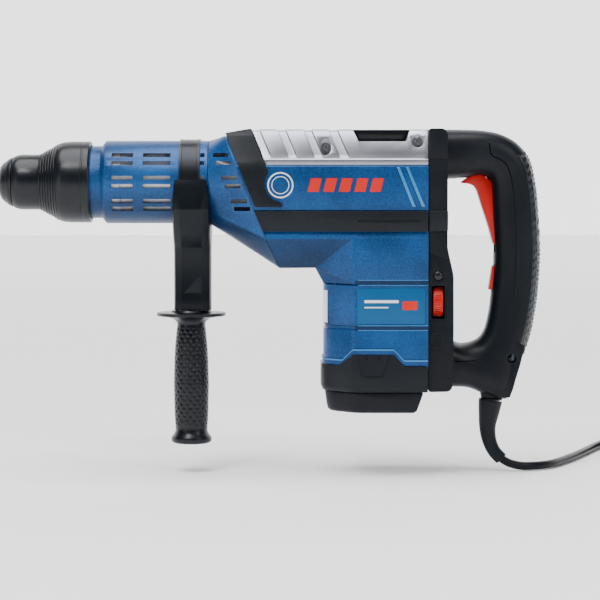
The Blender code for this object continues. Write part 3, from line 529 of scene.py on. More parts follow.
def plug():
    """A two-pin earthed plug with a ribbed collar at its tail."""
    def turned(profile, steps, x):
        profile = [(PLUG_Y - along, radius) for along, radius in profile]
        return lathe(profile, steps, "Y", (x, PLUG_Z))

    profile = [(0, 5.0), (1, 5.6)]
    for rib in range(5):
        start, grow = 2.0 + rib * 2.8, 0.12 * rib
        profile += [(start, 5.2 + grow), (start + 0.3, 6.1 + grow), (start + 1.7, 6.1 + grow),
                    (start + 2.0, 5.2 + grow)]
    profile += [(16.4, 6.2), (18, 8.6), (20, 12), (23, 15.4), (27, 17.6)]
    for start in (29, 33.4, 37.8):
        profile += [(start, 18), (start + 1, 17.2), (start + 2, 17.2), (start + 3, 18)]
    profile += [(48.4, 18), (50, 16.8), (50, 0), (0, 0)]
    pin = [(48, 2.4), (68.2, 2.4), (69, 1.7), (69, 0), (48, 0)]
    pins = [turned(pin, 24, PLUG_X + side) for side in (-9.5, 9.5)]
    return [piece("plug_body", turned(profile, 72, PLUG_X), "rubber_soft", "mains_plug"),
            piece("plug_pins", merged(*pins), "steel")]


def coil_tie(number, angle):
    """A strap round the hank's section, with its end tucked over."""
    middle = COIL_RADIUS - COIL_PITCH * COIL_ROWS[0][0] / 2
    high = COIL_LOW + COIL_ROW * 1.5
    outward = Vector((cos(angle), sin(angle), 0.0))
    along = Vector((-sin(angle), cos(angle), 0.0))
    centre = Vector((*COIL_CENTRE, high)) + outward * middle
    half_out, half_up, thick, half_width = 15.4, 15.0, 0.9, 6.5
    rings = []
    for u, v in filleted(rectangle(-half_out, -half_up, half_out, half_up), 4.6, 6):
        size = 1 + thick / hypot(u, v)
        ring = []
        for scale, side in ((1, -1), (size, -1), (size, 1), (1, 1)):
            up = Vector((0, 0, max(v * scale, FLOOR + 0.15 - high)))
            ring.append(centre + outward * u * scale + up + along * side * half_width)
        rings.append(ring)
    tail = centre + outward * -3.0 + Vector((0, 0, half_up + thick))
    end = [[tail + outward * u + along * v + Vector((0, 0, up))
            for u, v in rectangle(-7, -5.6, 6, 5.6)] for up in (0.0, 0.8)]
    strap = merged(lofted(rings + rings[:1], False), lofted(end))
    return piece("cord_tie_" + str(number), strap, "rubber_grain")


def cord():
    line = [at(*point) for point in cord_line()]
    curve = bpy.data.curves.new("mains_cord", "CURVE")
    curve.dimensions = "3D"
    curve.bevel_depth = CORD_DIAMETER / 2 * MM
    curve.bevel_resolution = 4
    curve.use_fill_caps = True
    spline = curve.splines.new("POLY")
    spline.points.add(len(line) - 1)
    for spot, point in zip(spline.points, line):
        spot.co = (*point, 1.0)
    spline.use_smooth = True
    made = dress(linked("mains_cord", curve), "cord_sheath", "cord_lead cord_coil")
    along = plug() + [coil_tie(1, radians(-62.0)), coil_tie(2, radians(118.0))]


# ---- front end


def between(table, x):
    """A value read off a table of (x, value) pairs in rising order."""
    for (low, first), (high, second) in zip(table, table[1:]):
        if x <= high:
            return first + (second - first) * (x - low) / (high - low)
    return table[-1][1]


def chuck():
    profile = [(1.5, 10.2), (1.5, 13.2), (2, 14.3), (3.2, 15.8), (4.6, 17.2), (5.6, 18),
               (6, 18.4), (6.3, 18.35), (8.2, 19.9), (8.6, 20.3), (10.2, 21.3), (11.4, 21.8),
               (12.5, 22), (12.5, 14.2), (4.4, 14.2), (4.4, 9.5), (2.2, 9.5)]
    piece("chuck_cap", lathe(profile, 128), "rubber_shine", "dust_cap", "spindle")

    slope = [(37.8, 24.7), (43.2, 27.8), (48.6, 30.5), (54, 34.1), (59.4, 35.9)]
    profile = [(13, 21), (13.3, 22.2), (14.2, 22.9), (16.4, 23.9), (19, 24.5), (21.6, 24.7),
               (36.4, 24.7)]
    for ridge in range(7):
        start = 37.2 + ridge * 2.45
        radius = between(slope, max(start, 37.8))
        after = between(slope, start + 2.45)
        profile += [(start, radius - 0.2), (start + 0.35, radius + 0.75),
                    (start + 1.7, after + 0.15), (start + 2.1, after - 0.2)]
    profile += [(56.5, 35.2), (59.4, 35.9), (66, 36.3), (75.6, 36.4), (76, 36.1), (77, 36.1),
                (77.4, 36.4), (82, 36.4), (83.2, 35.6), (83.2, 33.3), (61, 33.3), (40, 21.6),
                (13, 20.4)]
    piece("chuck_sleeve", lathe(profile, 128), "rubber_shine", "locking_sleeve", "sleeve", sharp=24)


def slot(start, end, height):
    """A level slot through both side walls, at a height above the axis."""
    return both(rectangle(start, height - 1.75, end, height + 1.75, 0.8), 12, 62)


SLOT_ROWS = (23.8, 16.8, 3.7, -3.6, -16.9, -23.6)
CONE_SLOTS = ((193.3, 206.5), (195.9, 209.1), (200.9, 214.4), (203.6, 217.8), (209.4, 223.6),
              (212, 226.2))


def barrel():
    profile = [(74, 32.3), (92.7, 32.3), (93.4, 32.6), (96, 36.2), (97.2, 37), (187.9, 37),
               (188.4, 36.5), (188.4, 34.2), (97.5, 34.2), (96, 29.9), (74, 29.9)]
    slots = merged(*[slot(start, end, row) for row in SLOT_ROWS
                     for start, end in ((103.5, 122.5), (131.3, 155.6), (181.7, 185.6))])
    piece("barrel_shell", lathe(profile, 160), "blue_textured", "front_barrel", cuts=[slots])
    profile = [(111.2, 32.6), (226, 32.6), (226, 29.6), (111.2, 29.6)]
    piece("barrel_liner", lathe(profile, 128), "cast_aluminium", "inner_tube")
    profile = [(98.2, 33.4), (110.4, 33.4), (110.9, 32.9), (110.9, 29.6), (98.2, 29.6)]
    piece("liner_collar", lathe(profile, 128), "cast_aluminium")


def seam_x(z, gap=0):
    return SEAM_AT_AXIS + gap + SEAM_SLOPE * z


def ray_to(outline, angle):
    """Where a ray from the axis meets a closed outline of (y, z)."""
    ahead = Vector((cos(angle), sin(angle)))
    best = None
    for a, b in zip(outline, outline[1:] + outline[:1]):
        a, b = Vector(a), Vector(b)
        side = b - a
        cross = ahead.x * side.y - ahead.y * side.x
        if abs(cross) < 1e-9:
            continue
        reach = (a.x * side.y - a.y * side.x) / cross
        share = (a.x * ahead.y - a.y * ahead.x) / cross
        if reach > 0 and -1e-6 <= share <= 1 + 1e-6:
            best = reach if best is None else max(best, reach)
    return best * ahead.x, best * ahead.y


def cone():
    half = [(0, 40.8), (27, 40.8), (34.5, 36.6), (43, 21), (46, 15), (47.5, 0), (48, -25),
            (48, -43), (49.5, -50), (26, -76), (0, -76)]
    whole = mirrored_ring([(0, y, z) for y, z in half])
    outline = filleted([(y, z) for _, y, z in whole], 4.5)
    corners = [atan2(z, y) for y, z in outline]
    angles = sorted(set([2 * pi * i / 96 - pi for i in range(96)] + corners))

    def skin(shares, thinner):
        rings = []
        for share in shares:
            ring = []
            for angle in angles:
                y, z = ray_to(outline, angle)
                start = Vector((188.7, 37 * cos(angle), 37 * sin(angle)))
                point = start.lerp(Vector((seam_x(z), y, z)), share)
                keep = 1 - thinner / hypot(point.y, point.z)
                ring.append((point.x, point.y * keep, point.z * keep))
            rings.append(ring)
        return lofted(rings)

    slots = merged(*[slot(start, end, row) for row, (start, end) in zip(SLOT_ROWS, CONE_SLOTS)])
    piece("cone_shell", skin((0, 0.25, 0.5, 0.75, 1), 0), "blue_textured", "front_cone",
          cuts=[skin((-0.2, 0.25, 0.5, 0.75, 1.2), 2.6), slots])


def band():
    profile = [(163, 37.3), (163, 38.1), (163.4, 38.5), (165, 38.5), (165.4, 38.2), (178.8, 38.2),
               (179.2, 38.5), (180.8, 38.5), (181.2, 38.1), (181.2, 37.3)]
    piece("band", lathe(profile, 128), "band_steel", "clamp_band", "side_handle")


GRIP_X = 172.1


def yoke():
    """The saddle and stem: a flat central face between chamfers that meet at the sides."""
    stops = [(4, 38.4, 14.2), (-4, 40.6, 13.4), (-24, 44.6, 8.8), (-26, 43.2, 9.2), (-44, 35, 9.4),
             (-58, 19, 9.2), (-62, 16.8, 9.2), (-80, 16.4, 9), (-100, 16.2, 9),
             (-104, 16.8, 9.2), (-114, 16.8, 9.2), (-114.4, 16.4, 9)]
    middle, half = (157.4 + 190.2) / 2, (190.2 - 157.4) / 2
    rings = []
    for z, half_y, face in stops:
        edge = half_y - (half - face) * 0.55
        ring = [(half, -edge + 3), (half - 1.2, -edge), (face, -half_y), (-face, -half_y),
                (1.2 - half, -edge), (-half, -edge + 3)]
        ring = [(middle + x, y, z) for x, y in ring]
        rings.append(ring + [(x, -y, z) for x, y, z in reversed(ring)])
    seat = lathe([(140, 0), (140, 39), (205, 39), (205, 0)], 128)
    bolt = lathe([(-150, 0), (-150, 4.6), (-30, 4.6), (-30, 0)], 32, "Z", (GRIP_X, 0))
    groove = both(rectangle(middle - 6.2, -99.6, middle + 6.2, -98.4), 15.4, 20)
    piece("saddle", lofted(rings), "black_satin", "side_yoke", "side_handle",
          cuts=[seat, bolt, groove], round_by=0.9, sharp=50)


def side_grip():
    """The side grip: a flange, a waisted grip with staggered pits and a collar at its foot."""
    columns, pitch, half_pit, depth = 16, 3.7, 1.3, 0.85
    top, bottom = 128, 223
    flange = [(-115, 12), (-115, 17.6), (-116.6, 18.6), (-117, 30.2), (-117.4, 31),
              (-119.6, 31), (-120.2, 30.2), (-120.6, 24), (-122.6, 16.6), (-125, 13.6),
              (-127, 12.6)]
    swell = [(127, 12.6), (135, 13.4), (146, 14.5), (160, 15.3), (182, 15.8), (206, 15.3),
             (bottom, 14.4)]
    foot = [(-223.6, 14.4), (-225.2, 15.2), (-227, 16), (-229, 17.8), (-230.2, 18.2),
            (-232.4, 18.2), (-233.8, 17.4), (-234.9, 15.6), (-235.2, 12)]
    steps = columns * 8
    rows = int((bottom - top) / pitch)
    rings = [[(radius, height)] * steps for height, radius in flange]
    for part in range(rows * 6 + 1):
        row = part / 6
        height = -top - row * pitch
        base = between(swell, -height)
        ring = []
        for step in range(steps):
            spans = []
            for shift in (0, 0.5):
                u = (step / 8 - shift + 0.5) % 1.0 - 0.5
                v = (row / 2 - shift + 0.5) % 1.0 - 0.5
                spans.append(hypot(u * 2 * pi * base / columns, v * 2 * pitch))
            pit = depth * (1 - smoothstep((min(spans) - half_pit * 0.4) / (half_pit * 0.9)))
            ring.append((base - (pit if 0.8 <= row <= rows - 0.8 else 0), height))
        rings.append(ring)
    rings += [[(radius, height)] * steps for height, radius in foot]
    placed = [[(GRIP_X + radius * c, radius * s, height)
               for (radius, height), (c, s) in zip(ring, circle(steps))] for ring in rings]
    piece("side_grip_skin", lofted(placed), "rubber_shine", "side_grip", "side_grip", sharp=45)


# ---- housings


CASE_SIDE = [(0, 15), (45.5, 15), (46.8, 13.5), (47.8, 2), (48, -24.8), (46.9, -25.4),
             (46.6, -43.2), (46.6, -43.6), (50, -49.8)]


def gear_case():
    rings = [[(seam_x(z, 0.3), y, z) for y, z in CASE_SIDE + [(26, -76), (13, -77), (0, -77)]]]
    for x, kept_in_painted_underside_shade in ((300.7, [(283.5, 26, -76), (283.5, 13, -76.5), (283.5, 0, -76.5)]),
                     (316, [(316, 50, -89.6), (290.8, 21, -89.6), (290.8, 0, -89.6)]),
                     (CASE_REAR, [(CASE_REAR, y, -89.6) for y in (50, 21, 0)])):
        rings.append([(x, y, z) for y, z in CASE_SIDE] + kept_in_painted_underside_shade)
    room = [(-42, 11.5), (42, 11.5), (43, -48), (25, -70), (-25, -70), (-43, -48)]
    piece("gear_case", lofted([mirrored_ring(ring) for ring in rings]), "blue_textured",
          "gear_housing", cuts=[prism(room, 180, CASE_REAR - 3.5, "YZ")], round_by=0.9, sharp=40)
    section = [(0, 40.6), (26.8, 40.6), (34.2, 36.4), (42.8, 21), (45.4, 14.6), (0, 14.6)]
    neck = [mirrored_ring([(seam_x(z, 0.3 + run), y, z) for y, z in section])
            for run in (0, 20)]
    room = [(-40, 10), (40, 10), (39, 24), (31, 37.5), (-31, 37.5), (-39, 24)]
    piece("case_neck", lofted(neck), "blue_textured", cuts=[prism(room, 180, 270, "YZ")])
    # the two slanted ribs are given a lighter blue, a painted highlight for the light they catch
    ribs = []
    for top, foot in (((354.8, 357.4), (368.6, 371.6)), ((362.8, 365.2), (376.8, 379.8))):
        outline = [(top[0], 13), (top[1], 13), (foot[1], -21.7), (foot[0], -21.7)]
        ribs.append(both(outline, 45, 48.5))
    piece("case_ribs", merged(*ribs), "pale_blue_trim_and_painted_highlight", round_by=0.5)


def case_section(grow):
    """The case's section, grown outward, as half an outline of (y, z)."""
    side = [(0, 44.8), (28, 44.8), (35, 39.9), (43, 21), (46, 15), (47.8, 0), (48, -25),
            (48, -43), (49.9, -49.8), (26, -76)]
    grown = [(max(y - ahead.y * grow, 0), z + ahead.x * grow)
             for (y, z), ahead in zip(side, headings(side))]
    return [(0, side[0][1] + grow)] + grown[1:]


def guard():
    """The soft guard: the case's section grown outward, within the guard's side outline."""
    def skin(grow, front, rear):
        section = case_section(grow) + [(0, -76 - grow)]
        return lofted([mirrored_ring([(start + SEAM_SLOPE * z, y, z) for y, z in section])
                       for start in (front, rear)])

    outline = filleted([(201.6, 49.5), (226, 49.5), (227.4, 45.3), (242.4, 8.6), (239.6, 4),
                        (238.2, -2.5), (241.4, -11), (246.6, -15.8), (253.2, -18),
                        (255.4, -22), (230.4, -22)], 2.4)
    above = [(190, 42.2), (204.6, 43.4), (226.4, 47.4), (226.4, 60), (190, 60)]
    piece("guard", skin(2.3, 150, 300), "rubber_grain", "bumper_guard",
          within=[prism(outline, -70, 70)], cuts=[skin(0.2, 140, 310), prism(above, -70, 70)],
          round_by=0.9, angle=30, sharp=50)


def strips():
    end = CASE_REAR - 0.3
    outline = filleted([(229.6, -25.6), (end, -25.6), (end, -43.4), (237.2, -43.4)], 1.6)
    for side, sign in (("left", -1), ("right", 1)):
        strip = prism(outline, *sorted((sign * 46.6, sign * 50)))
        piece("strip_" + side, strip, "rubber_grain", "side_strip_" + side, round_by=0.7)


COVER_EDGES = (235.3, 250.9, 258.1, 273.7, 280.9, 295.9, 303.7)
KNOB_X = 342.2
COVER_SIDE = [(0, 46.5), (28, 46.5), (31.2, 45.3), (35.4, 40.8), (41.5, 25.4), (43, 21),
              (45.2, 20.4), (46, 19.6), (46, 15.3)]
WELLS = [(292.6, 31, 7.4, 5), (373.5, 36.5, 6, 5.6)]


def cover():
    """The cover: a flat crown and sloping sides with leaning channels pressed into them."""
    stops, lift = [(226, -1)], -1
    for edge in COVER_EDGES:
        stops += [(edge - 0.4, lift), (edge + 0.4, -1 - lift)]
        lift = -1 - lift
    rings = []
    for x, lift in stops + [(x, 0) for x in (317, 340, 366, 372, CASE_REAR - 0.3)]:
        lean = SEAM_SLOPE if x < 310 else SEAM_SLOPE * max(0, (350.0 - x) / 40)
        ring = []
        for index, (y, z) in enumerate(COVER_SIDE):
            drop = lift if 1 <= index <= 4 else (lift * 0.6 if index == 0 else 0)
            out = 0.8 * drop if index in (3, 4) else 0.3 * drop
            ring.append((x + lean * (z - 44.5), y + out if y else 0, z + drop * 0.8))
        rings.append(mirrored_ring(ring))
    leaning = [(180, 60), (221.7, 60), (228.2, 45.6), (241.2, 13), (180, 13)]
    recess = [(316.2, 60), (316.2, 46.8), (321.5, 35.8), (363.4, 35.8), (367.2, 46.8),
              (367.2, 60)]
    wells = [both([(x + half * c, z + tall * s) for c, s in circle(48)], 33.4, 60)
             for x, z, tall, half in WELLS]
    hole = lathe([(20, 0), (20, 5.5), (50, 5.5), (50, 0)], 40, "Z", (KNOB_X, 0))
    room = box((180, -31.5, 10), (CASE_REAR - 4, 31.5, 33))
    piece("top_shell", lofted(rings), "silver", "top_cover",
          cuts=[prism(leaning, -60, 60), prism(recess, -60, 60), merged(*wells), hole, room],
          round_by=0.7, angle=26, sharp=50)

    head = [(33, 0), (33, 3.4), (35, 3.4), (35.6, 2.9), (35.6, 1.6), (34.2, 1.4), (34.2, 0)]
    for side, sign, nodes in (("left", -1, "cover_screw_1 cover_screw_2"), ("right", 1, "")):
        profile = [(sign * reach, radius) for reach, radius in head]
        heads = [lathe(profile, 48, "Y", (x, z)) for x, z, _, _ in WELLS]
        piece("screws_" + side, merged(*heads), "steel_dark", nodes)


def knob():
    """The mode knob: a scalloped disc with a raised bar and a pale pointer."""
    rings = []
    for z, radius in ((36.2, 20.2), (36.6, 20.6), (39, 20.6), (40.6, 20), (41, 19.2)):
        ring = []
        for step, (c, s) in enumerate(circle(144)):
            scallop = 0.35 * (1 + cos(pi * step / 4)) if z < 40.5 else 0.2
            ring.append((KNOB_X + (radius - scallop) * c, (radius - scallop) * s, z))
        rings.append(ring)
    bar = filleted([(324, -5.2), (352, -5.2), (361.5, 0), (352, 5.2), (324, 5.2)], 2.5)
    piece("knob", lofted(rings), "black_satin", "selector_knob", "selector",
          joins=[prism(bar, 40, 43.6, "XY")], round_by=0.5, segments=2, angle=40, sharp=45)
    lining = [(316.9, 46.2), (321.9, 36.2), (363, 36.2), (366.7, 46.2)]
    well = lathe([(30, 0), (30, 21), (60, 21), (60, 0)], 96, "Z", (KNOB_X, 0))
    piece("knob_surround", prism(lining, -25.6, 25.6), "dark_gloss", cuts=[well], round_by=0.3)
    mark = filleted([(350.5, -2), (358.5, 0), (350.5, 2)], 0.5)
    piece("knob_mark", prism(mark, 43.3, 43.62, "XY"), "white_print", body="selector")


def plan(inset=0, rear=CASE_REAR):
    """Plan outline of the motor housing, with soft front corners, as (x, y)."""
    front, half = 291.0 + inset, 50.0 - inset
    side = [(front, 17.0 - inset / 2), (front + 0.9, 22.5 - inset / 2),
            (front + 3.5, 26.6 - inset / 2), (300.0 + inset / 2, 33.4 - inset),
            (312.0 + inset / 2, half - 4.6), (315.6 + inset / 2, half - 1.7),
            (321.0 + inset / 2, half), (rear, half)]
    return [(x, -y) for x, y in side] + list(reversed(side))


def stacked(levels, rear=CASE_REAR):
    """A solid through the housing's plan at each of the (height, inset) levels."""
    return lofted([[(x, y, z) for x, y in plan(inset, rear)] for z, inset in levels])


LIP_EDGE = [(280, -156.4), (307.3, -156.4), (316.3, -146.8), (352.5, -146.8), (361.6, -156.4),
            (382.4, -156.4)]


def wrapped(name, grown, outline):
    """A band that follows the housing's plan, grown outward, within an outline in side view."""
    made = loose(name, stacked(((-172, -grown), (-140, -grown)), CASE_REAR - 0.3))
    settle(made)
    carve(made, prism(outline, -70, 70), operation="INTERSECT")
    return made


def motor_case():
    levels = ((-90.3, 0.6), (-90.9, 0), (-91.6, 0), (-126, 0), (-126.6, 1.2),
              (-129.6, 1.2), (-130.2, 0), (-163.2, 0), (-164, 0.6))
    recess = both(rectangle(319.7, -92.6, 380.6, -125.2, 3), 49.5, 56)
    room = stacked(((-170, 3.5), (-80, 3.5)), CASE_REAR - 3.5)
    piece("motor_case", stacked(levels), "blue_textured", "motor_housing", cuts=[recess, room],
          round_by=0.6, segments=2, angle=40, sharp=32)
    # painted shadow: thin dark blue bands laid over the two grooves, where their shade falls
    groove_shadow_bands = [both(rectangle(318, z, CASE_REAR - 0.2, z - 3.5), 48, 50.12)
              for z in (-86.3, -126.3)]
    piece("groove_shades", merged(*groove_shadow_bands), "blue_painted_groove_shadow")
    panel = both(rectangle(320.1, -93, 380.2, -124.8, 2.6), 49, 49.8)
    piece("label_panels", panel, "blue_smooth", round_by=0.2)
    piece("red_tags", both(rectangle(360, -104.6, 373.2, -112.2, 1), 49.6, 49.95), "red")
    for name, grown, tall, look in (("case_lip", 0.9, 4.6, "blue_textured"),
                                    ("lip_bead", 1.5, 1.1, "pale_blue_trim_and_painted_highlight")):
        outline = LIP_EDGE + [(x, z - tall) for x, z in reversed(LIP_EDGE)]
        dress(wrapped(name, grown, outline), look)
    # painted highlight: thin lighter lines along the grooves' lips, where light catches their edges
    lines = [both(rectangle(321, z, CASE_REAR, z - 0.5), 49, 50.15)
             for z in (-85.8, -90.2, -125.8, -129.9)]
    piece("case_lines", merged(*lines), "pale_blue_trim_and_painted_highlight")
    parts = [prism(rectangle(-14.5, -96, 14.5, -124.6, 2), 290.72, 291.2, "YZ")]
    turn = [(290.72, 14), (290.72, 17), (291.6, 22.6), (294.2, 26.9), (295, 26.2),
            (292.6, 22.2), (291.6, 16.8), (291.6, 14)]
    for sign in (-1, 1):
        parts.append(prism([(x, sign * y) for x, y in turn], -124.6, -96, "XY"))
    piece("front_plate", merged(*parts), "silver_light")


def base():
    levels = ((-164.3, -1.6), (-165.2, -2.5), (-180.4, -2.5), (-183.8, -1.2), (-184.8, -0.4))
    path = [(321.1, -152.6), (324.8, -169), (327, -170.8), (341.4, -170.8), (343.4, -169),
            (348.3, -152.6)]
    cuts = [both(track(path, 0.55), 51.7, 60)]
    for x in (328.6, 339.4):
        notch = [(x - 1.5, -150), (x + 1.5, -150), (x + 1.2, -156), (x - 1.2, -156)]
        cuts.append(both(filleted(notch, 0.8), 50.9, 60))
    cuts.append(stacked(((-181, 3.5), (-140, 3.5)), CASE_REAR - 3.5))
    tongue = [(280, -161.8), (303.5, -161.8), (316.8, -151.7), (352, -151.7), (361.6, -161.8),
              (382, -161.8), (382, -170), (280, -170)]
    tongue = wrapped("tongue", 2.49, filleted(tongue, 1))
    piece("base_shell", stacked(levels, CASE_REAR - 0.3), "black_satin", "base_cover",
          joins=[tongue], cuts=cuts, round_by=0.6, segments=2, angle=38, sharp=40)
    rings = []
    for z, inset, rear in ((-185.2, 1.6, 378.2), (-186.4, 1.2, 378.4), (-198, 2.8, 374.4),
                           (-201.7, 3.8, 373), (-203.7, 6, 370.6)):
        rings.append([(x, y, z) for x, y in plan(inset, rear)])
    piece("base_foot", lofted(rings), "rubber_soft", "base_cap", round_by=0.5, sharp=40)


# ---- rear body and handle

LAMP_AT = (391.5, -82.3)
REAR_OUTLINE = [(383, 47), (396.4, 47), (399.7, 43), (399.7, -58), (402.4, -70), (405.1, -82),
                (405.3, -135), (404.4, -181), (401.4, -184.6), (383, -185)]


def rear_case():
    window = rectangle(385.8, -91, 397.4, -120.4, 1.6)
    bevel = rectangle(383.8, -89.2, 399.2, -122.2, 2.4)
    slanted = [(380, -61), (412, -73), (412, -74.2), (380, -62.2)]
    cuts = [prism(bevel, -60, -45.2), prism(window, -60, -18),
            lathe([(-60, 0), (-60, 4.2), (-42, 4.2), (-42, 0)], 40, "Y", LAMP_AT),
            both(rectangle(380, 20.6, 412, 19.6), 45.4, 60), both(slanted, 45.4, 60),
            box((385, -40.5, -180), (396, 40.5, 42))]
    piece("rear_case", prism(filleted(REAR_OUTLINE, 3), -46, 46), "black_textured",
          "rear_housing", cuts=cuts, round_by=2.6, segments=4, angle=50, sharp=40)
    blocks = both(rectangle(383.2, -25, 400, -43, 1.4), 45, 47.6)
    piece("rear_strips", blocks, "rubber_grain", round_by=0.7)
    emblem = [(-46.3, 4.6), (-46.3, 5.6), (-45.5, 5.8), (-45.5, 4.4)]
    piece("rear_emblem", lathe(emblem, 64, "Y", (390.9, -137.9)), "black_satin")
    dome = [(-42.5, 0), (-42.5, 3.9), (-46.2, 3.9), (-46.9, 3.4), (-47.4, 2.3), (-47.6, 0)]
    piece("lamp", lathe(dome, 48, "Y", LAMP_AT), "smoked_lens", "service_lamp")


DIAL_AT = (-33.6, -105.6)


def dial():
    """The ribbed speed wheel, with a row of strokes for each of its six steps."""
    rings = []
    for x, radius in ((387.2, 12.6), (387.8, 13.2), (388.6, 13.4), (394.6, 13.4), (395.4, 13.2),
                      (396, 12.6)):
        ring = []
        for step, (c, s) in enumerate(circle(240)):
            reach = radius - (0.55 if step % 6 in (0, 1) else 0)
            ring.append((x, DIAL_AT[0] + reach * c, DIAL_AT[1] + reach * s))
        rings.append(ring)
    piece("dial_wheel", lofted(rings), "red", "speed_dial", "dial", sharp=30)
    marks = []
    for number in range(6):
        for stroke in range(number + 1):
            turn = radians(171.0 + 40.0 * number + 9.0 * (stroke % 3))
            c, s = cos(turn), sin(turn)
            bar = [(DIAL_AT[0] + reach * c - side * s, DIAL_AT[1] + reach * s + side * c)
                   for reach, side in rectangle(13.2, -0.35, 13.55, 0.35)]
            x = 389.6 + 2.4 * (stroke // 3)
            marks.append(prism(bar, x, x + 1.8, "YZ"))
    piece("dial_marks", merged(*marks), "dark_print", body="dial")


SCREW_AT = (459, -157.4)


PARTING_LINES = (
    (18.3, 0.5, [(437.9, 34.4), (440, 24), (448.6, 19.6), (455, 12.2), (459.2, -4.9),
                 (461.3, -32.5), (462.4, -53.8), (461.8, -75), (460.3, -103.5)]),
    (22.6, 0.45, [(408, -159.3), (422, -159), (436, -156.2), (448, -151)]),
)


HANDLE_STOPS = [((399.7, 47.1), (399.7, 2.7), 29), ((418.5, 46.8), (418.5, 3.6), 27),
                ((433.8, 46), (429.5, 6), 25), ((450, 42.6), (437.3, 4.2), 23),
                ((464.4, 34.6), (440.6, -1.4), 21.5), ((475.2, 20.5), (441, -7), 20),
                ((480.6, -0.9), (441.5, -17), 19), ((483.3, -25.2), (442.3, -32), 19),
                ((485.1, -56.7), (443.7, -56.7), 19), ((484.5, -79.2), (443.6, -77.4), 19),
                ((482.8, -101.7), (441.5, -101.7), 19), ((480.1, -119.7), (439.4, -117.5), 19.5),
                ((476.1, -138.6), (436.3, -130.6), 20.5), ((467.4, -163.8), (431.4, -139), 22),
                ((458, -193.4), (425.5, -142.6), 23.5), ((437, -190.6), (419, -144.4), 25),
                ((421, -184.6), (412.5, -144.4), 27), ((404, -183.6), (404, -140.5), 29)]
HANDLE_POWER = 2.7


def handle_rings(parts, grow=0, angles=None, first=0, last=None):
    """Cross-sections of the handle. angles pick part of the section, with 0 at its outer edge."""
    stops = HANDLE_STOPS[first:last]
    outers = smooth_curve([(x, 0, z) for (x, z), _, _ in stops], parts)
    inners = smooth_curve([(x, 0, z) for _, (x, z), _ in stops], parts)
    widths = smooth_curve([(width, 0, 0) for _, _, width in stops], parts)
    angles = angles or [2 * pi * i / 72 for i in range(72)]
    rings = []
    for outer, inner, width in zip(outers, inners, widths):
        middle, half = (outer + inner) / 2, (outer - inner) / 2
        reach = (half.length + grow) / half.length
        ring = []
        for angle in angles:
            c, s = cos(angle), sin(angle)
            out = copysign(abs(c) ** (2 / HANDLE_POWER), c)
            across = copysign(abs(s) ** (2 / HANDLE_POWER), s) * (width.x + grow)
            point = middle + half * (out * reach)
            ring.append((point.x, across, point.z))
        rings.append(ring)
    return rings


def handle():
    rear = [(370, 60), (396.7, 60)] + [(x + 0.3, z) for x, z in REAR_OUTLINE[2:9]]
    cuts = [prism(rear + [(401.7, -200), (370, -200)], -60, 60),
            box((410, -8.6, -63), (465, 8.6, 10.5)),
            box((430, -6.8, -98.6), (450, 6.8, -73.6))]
    for angle in (0, pi):
        seam = [(ring[0][0], ring[0][2]) for ring in handle_rings(6, angles=[angle])]
        cuts.append(prism(track(seam, 0.55), -0.25, 0.25))
    for reach, half, stops in PARTING_LINES:
        path = [tuple(point) for point in smooth_curve(stops, 6)]
        cuts.append(both(track(path, half), reach, 60))
    hole = both_lathes([(15, 0), (15, 3.9), (60, 3.9), (60, 0)], 32, *SCREW_AT)
    made = piece("handle_shell", lofted(handle_rings(6)), "rubber_soft", "handle_left handle_right",
                 cuts=cuts + [hole])
    made.data.set_sharp_from_angle(angle=radians(42))
    foot = filleted([(457, -138.2), (470.6, -146), (466.6, -163), (457.6, -192.2),
                     (450.6, -192.2), (438, -186), (444, -166)], 1.2)
    piece("handle_foot", prism(foot, -20.4, 20.4), "black_textured", cuts=[hole], round_by=3.2)
    head = [(15.5, 0), (15.5, 3.3), (17.4, 3.3), (17.6, 2.9), (17.6, 1.6), (16.4, 1.4), (16.4, 0)]
    piece("handle_screws", both_lathes(head, 32, *SCREW_AT), "dark_gloss")


def pad():
    """The grip's soft back, a skin over the handle's rear with rows of small round bumps."""
    wide, pitch, plain = 73, 7.2, 4
    across = [radians(68) * (2 * i / (wide - 1) - 1) % (2 * pi) for i in range(wide)]
    outer, inner = (handle_rings(12, grow, across, 4, 14) for grow in (0.15, -2))
    middles = [Vector(ring[wide // 2]) for ring in outer]
    rings, along = [], 0.0
    for index, (ahead, kept_in_painted_underside_shade) in enumerate(zip(headings(middles), inner)):
        row = [Vector(point) for point in outer[index]]
        if index:
            along += (middles[index] - middles[index - 1]).length
        sides = [0]
        for before, after in zip(row, row[1:]):
            sides.append(sides[-1] + (after - before).length)
        ring = []
        for i, (point, near, side) in enumerate(zip(row, headings(row), sides)):
            out = near.cross(ahead).normalized()
            if out.x < 0:
                out = -out
            spans = []
            for shift in (0, 0.5):
                u = ((side - sides[-1] / 2) / pitch + shift + 0.5) % 1.0 - 0.5
                v = (along / pitch + shift + 0.5) % 1.0 - 0.5
                spans.append(hypot(u, v) * pitch)
            bump = 0.8 * (1 - smoothstep((min(spans) - 0.5) / 1.1))
            inside = plain <= index < len(outer) - plain and plain + 2 <= i < wide - plain - 2
            ring.append(tuple(point + out * (bump if inside else -0.35)))
        rings.append(ring + kept_in_painted_underside_shade[::-1])
    piece("grip_back", lofted(rings), "pad_rubber", "grip_pad", sharp=70)


def controls():
    lever = [(413.6, -0.8), (419.5, 3.9), (425.1, 6.5), (430.7, 7.1), (435.6, 5.2), (439.6, 1.4),
             (447.5, -2), (448, -50), (445.5, -56), (443.2, -55.4), (438.3, -37.8), (432, -18.9),
             (428.4, -7.2), (425.7, -3.1), (421.2, -1.4)]
    piece("trigger_lever", prism(filleted(lever, 1.6, 3), -7.5, 7.5), "red", "trigger", "trigger",
          round_by=1.6, sharp=50)
    slide = [(442.4, -74.9), (446, -74.9), (446, -97), (439.2, -96.4)]
    piece("lock_slide", prism(filleted(slide, 0.8, 3), -6, 6), "red", "lock_button",
          "lock_button", round_by=0.9, sharp=50)


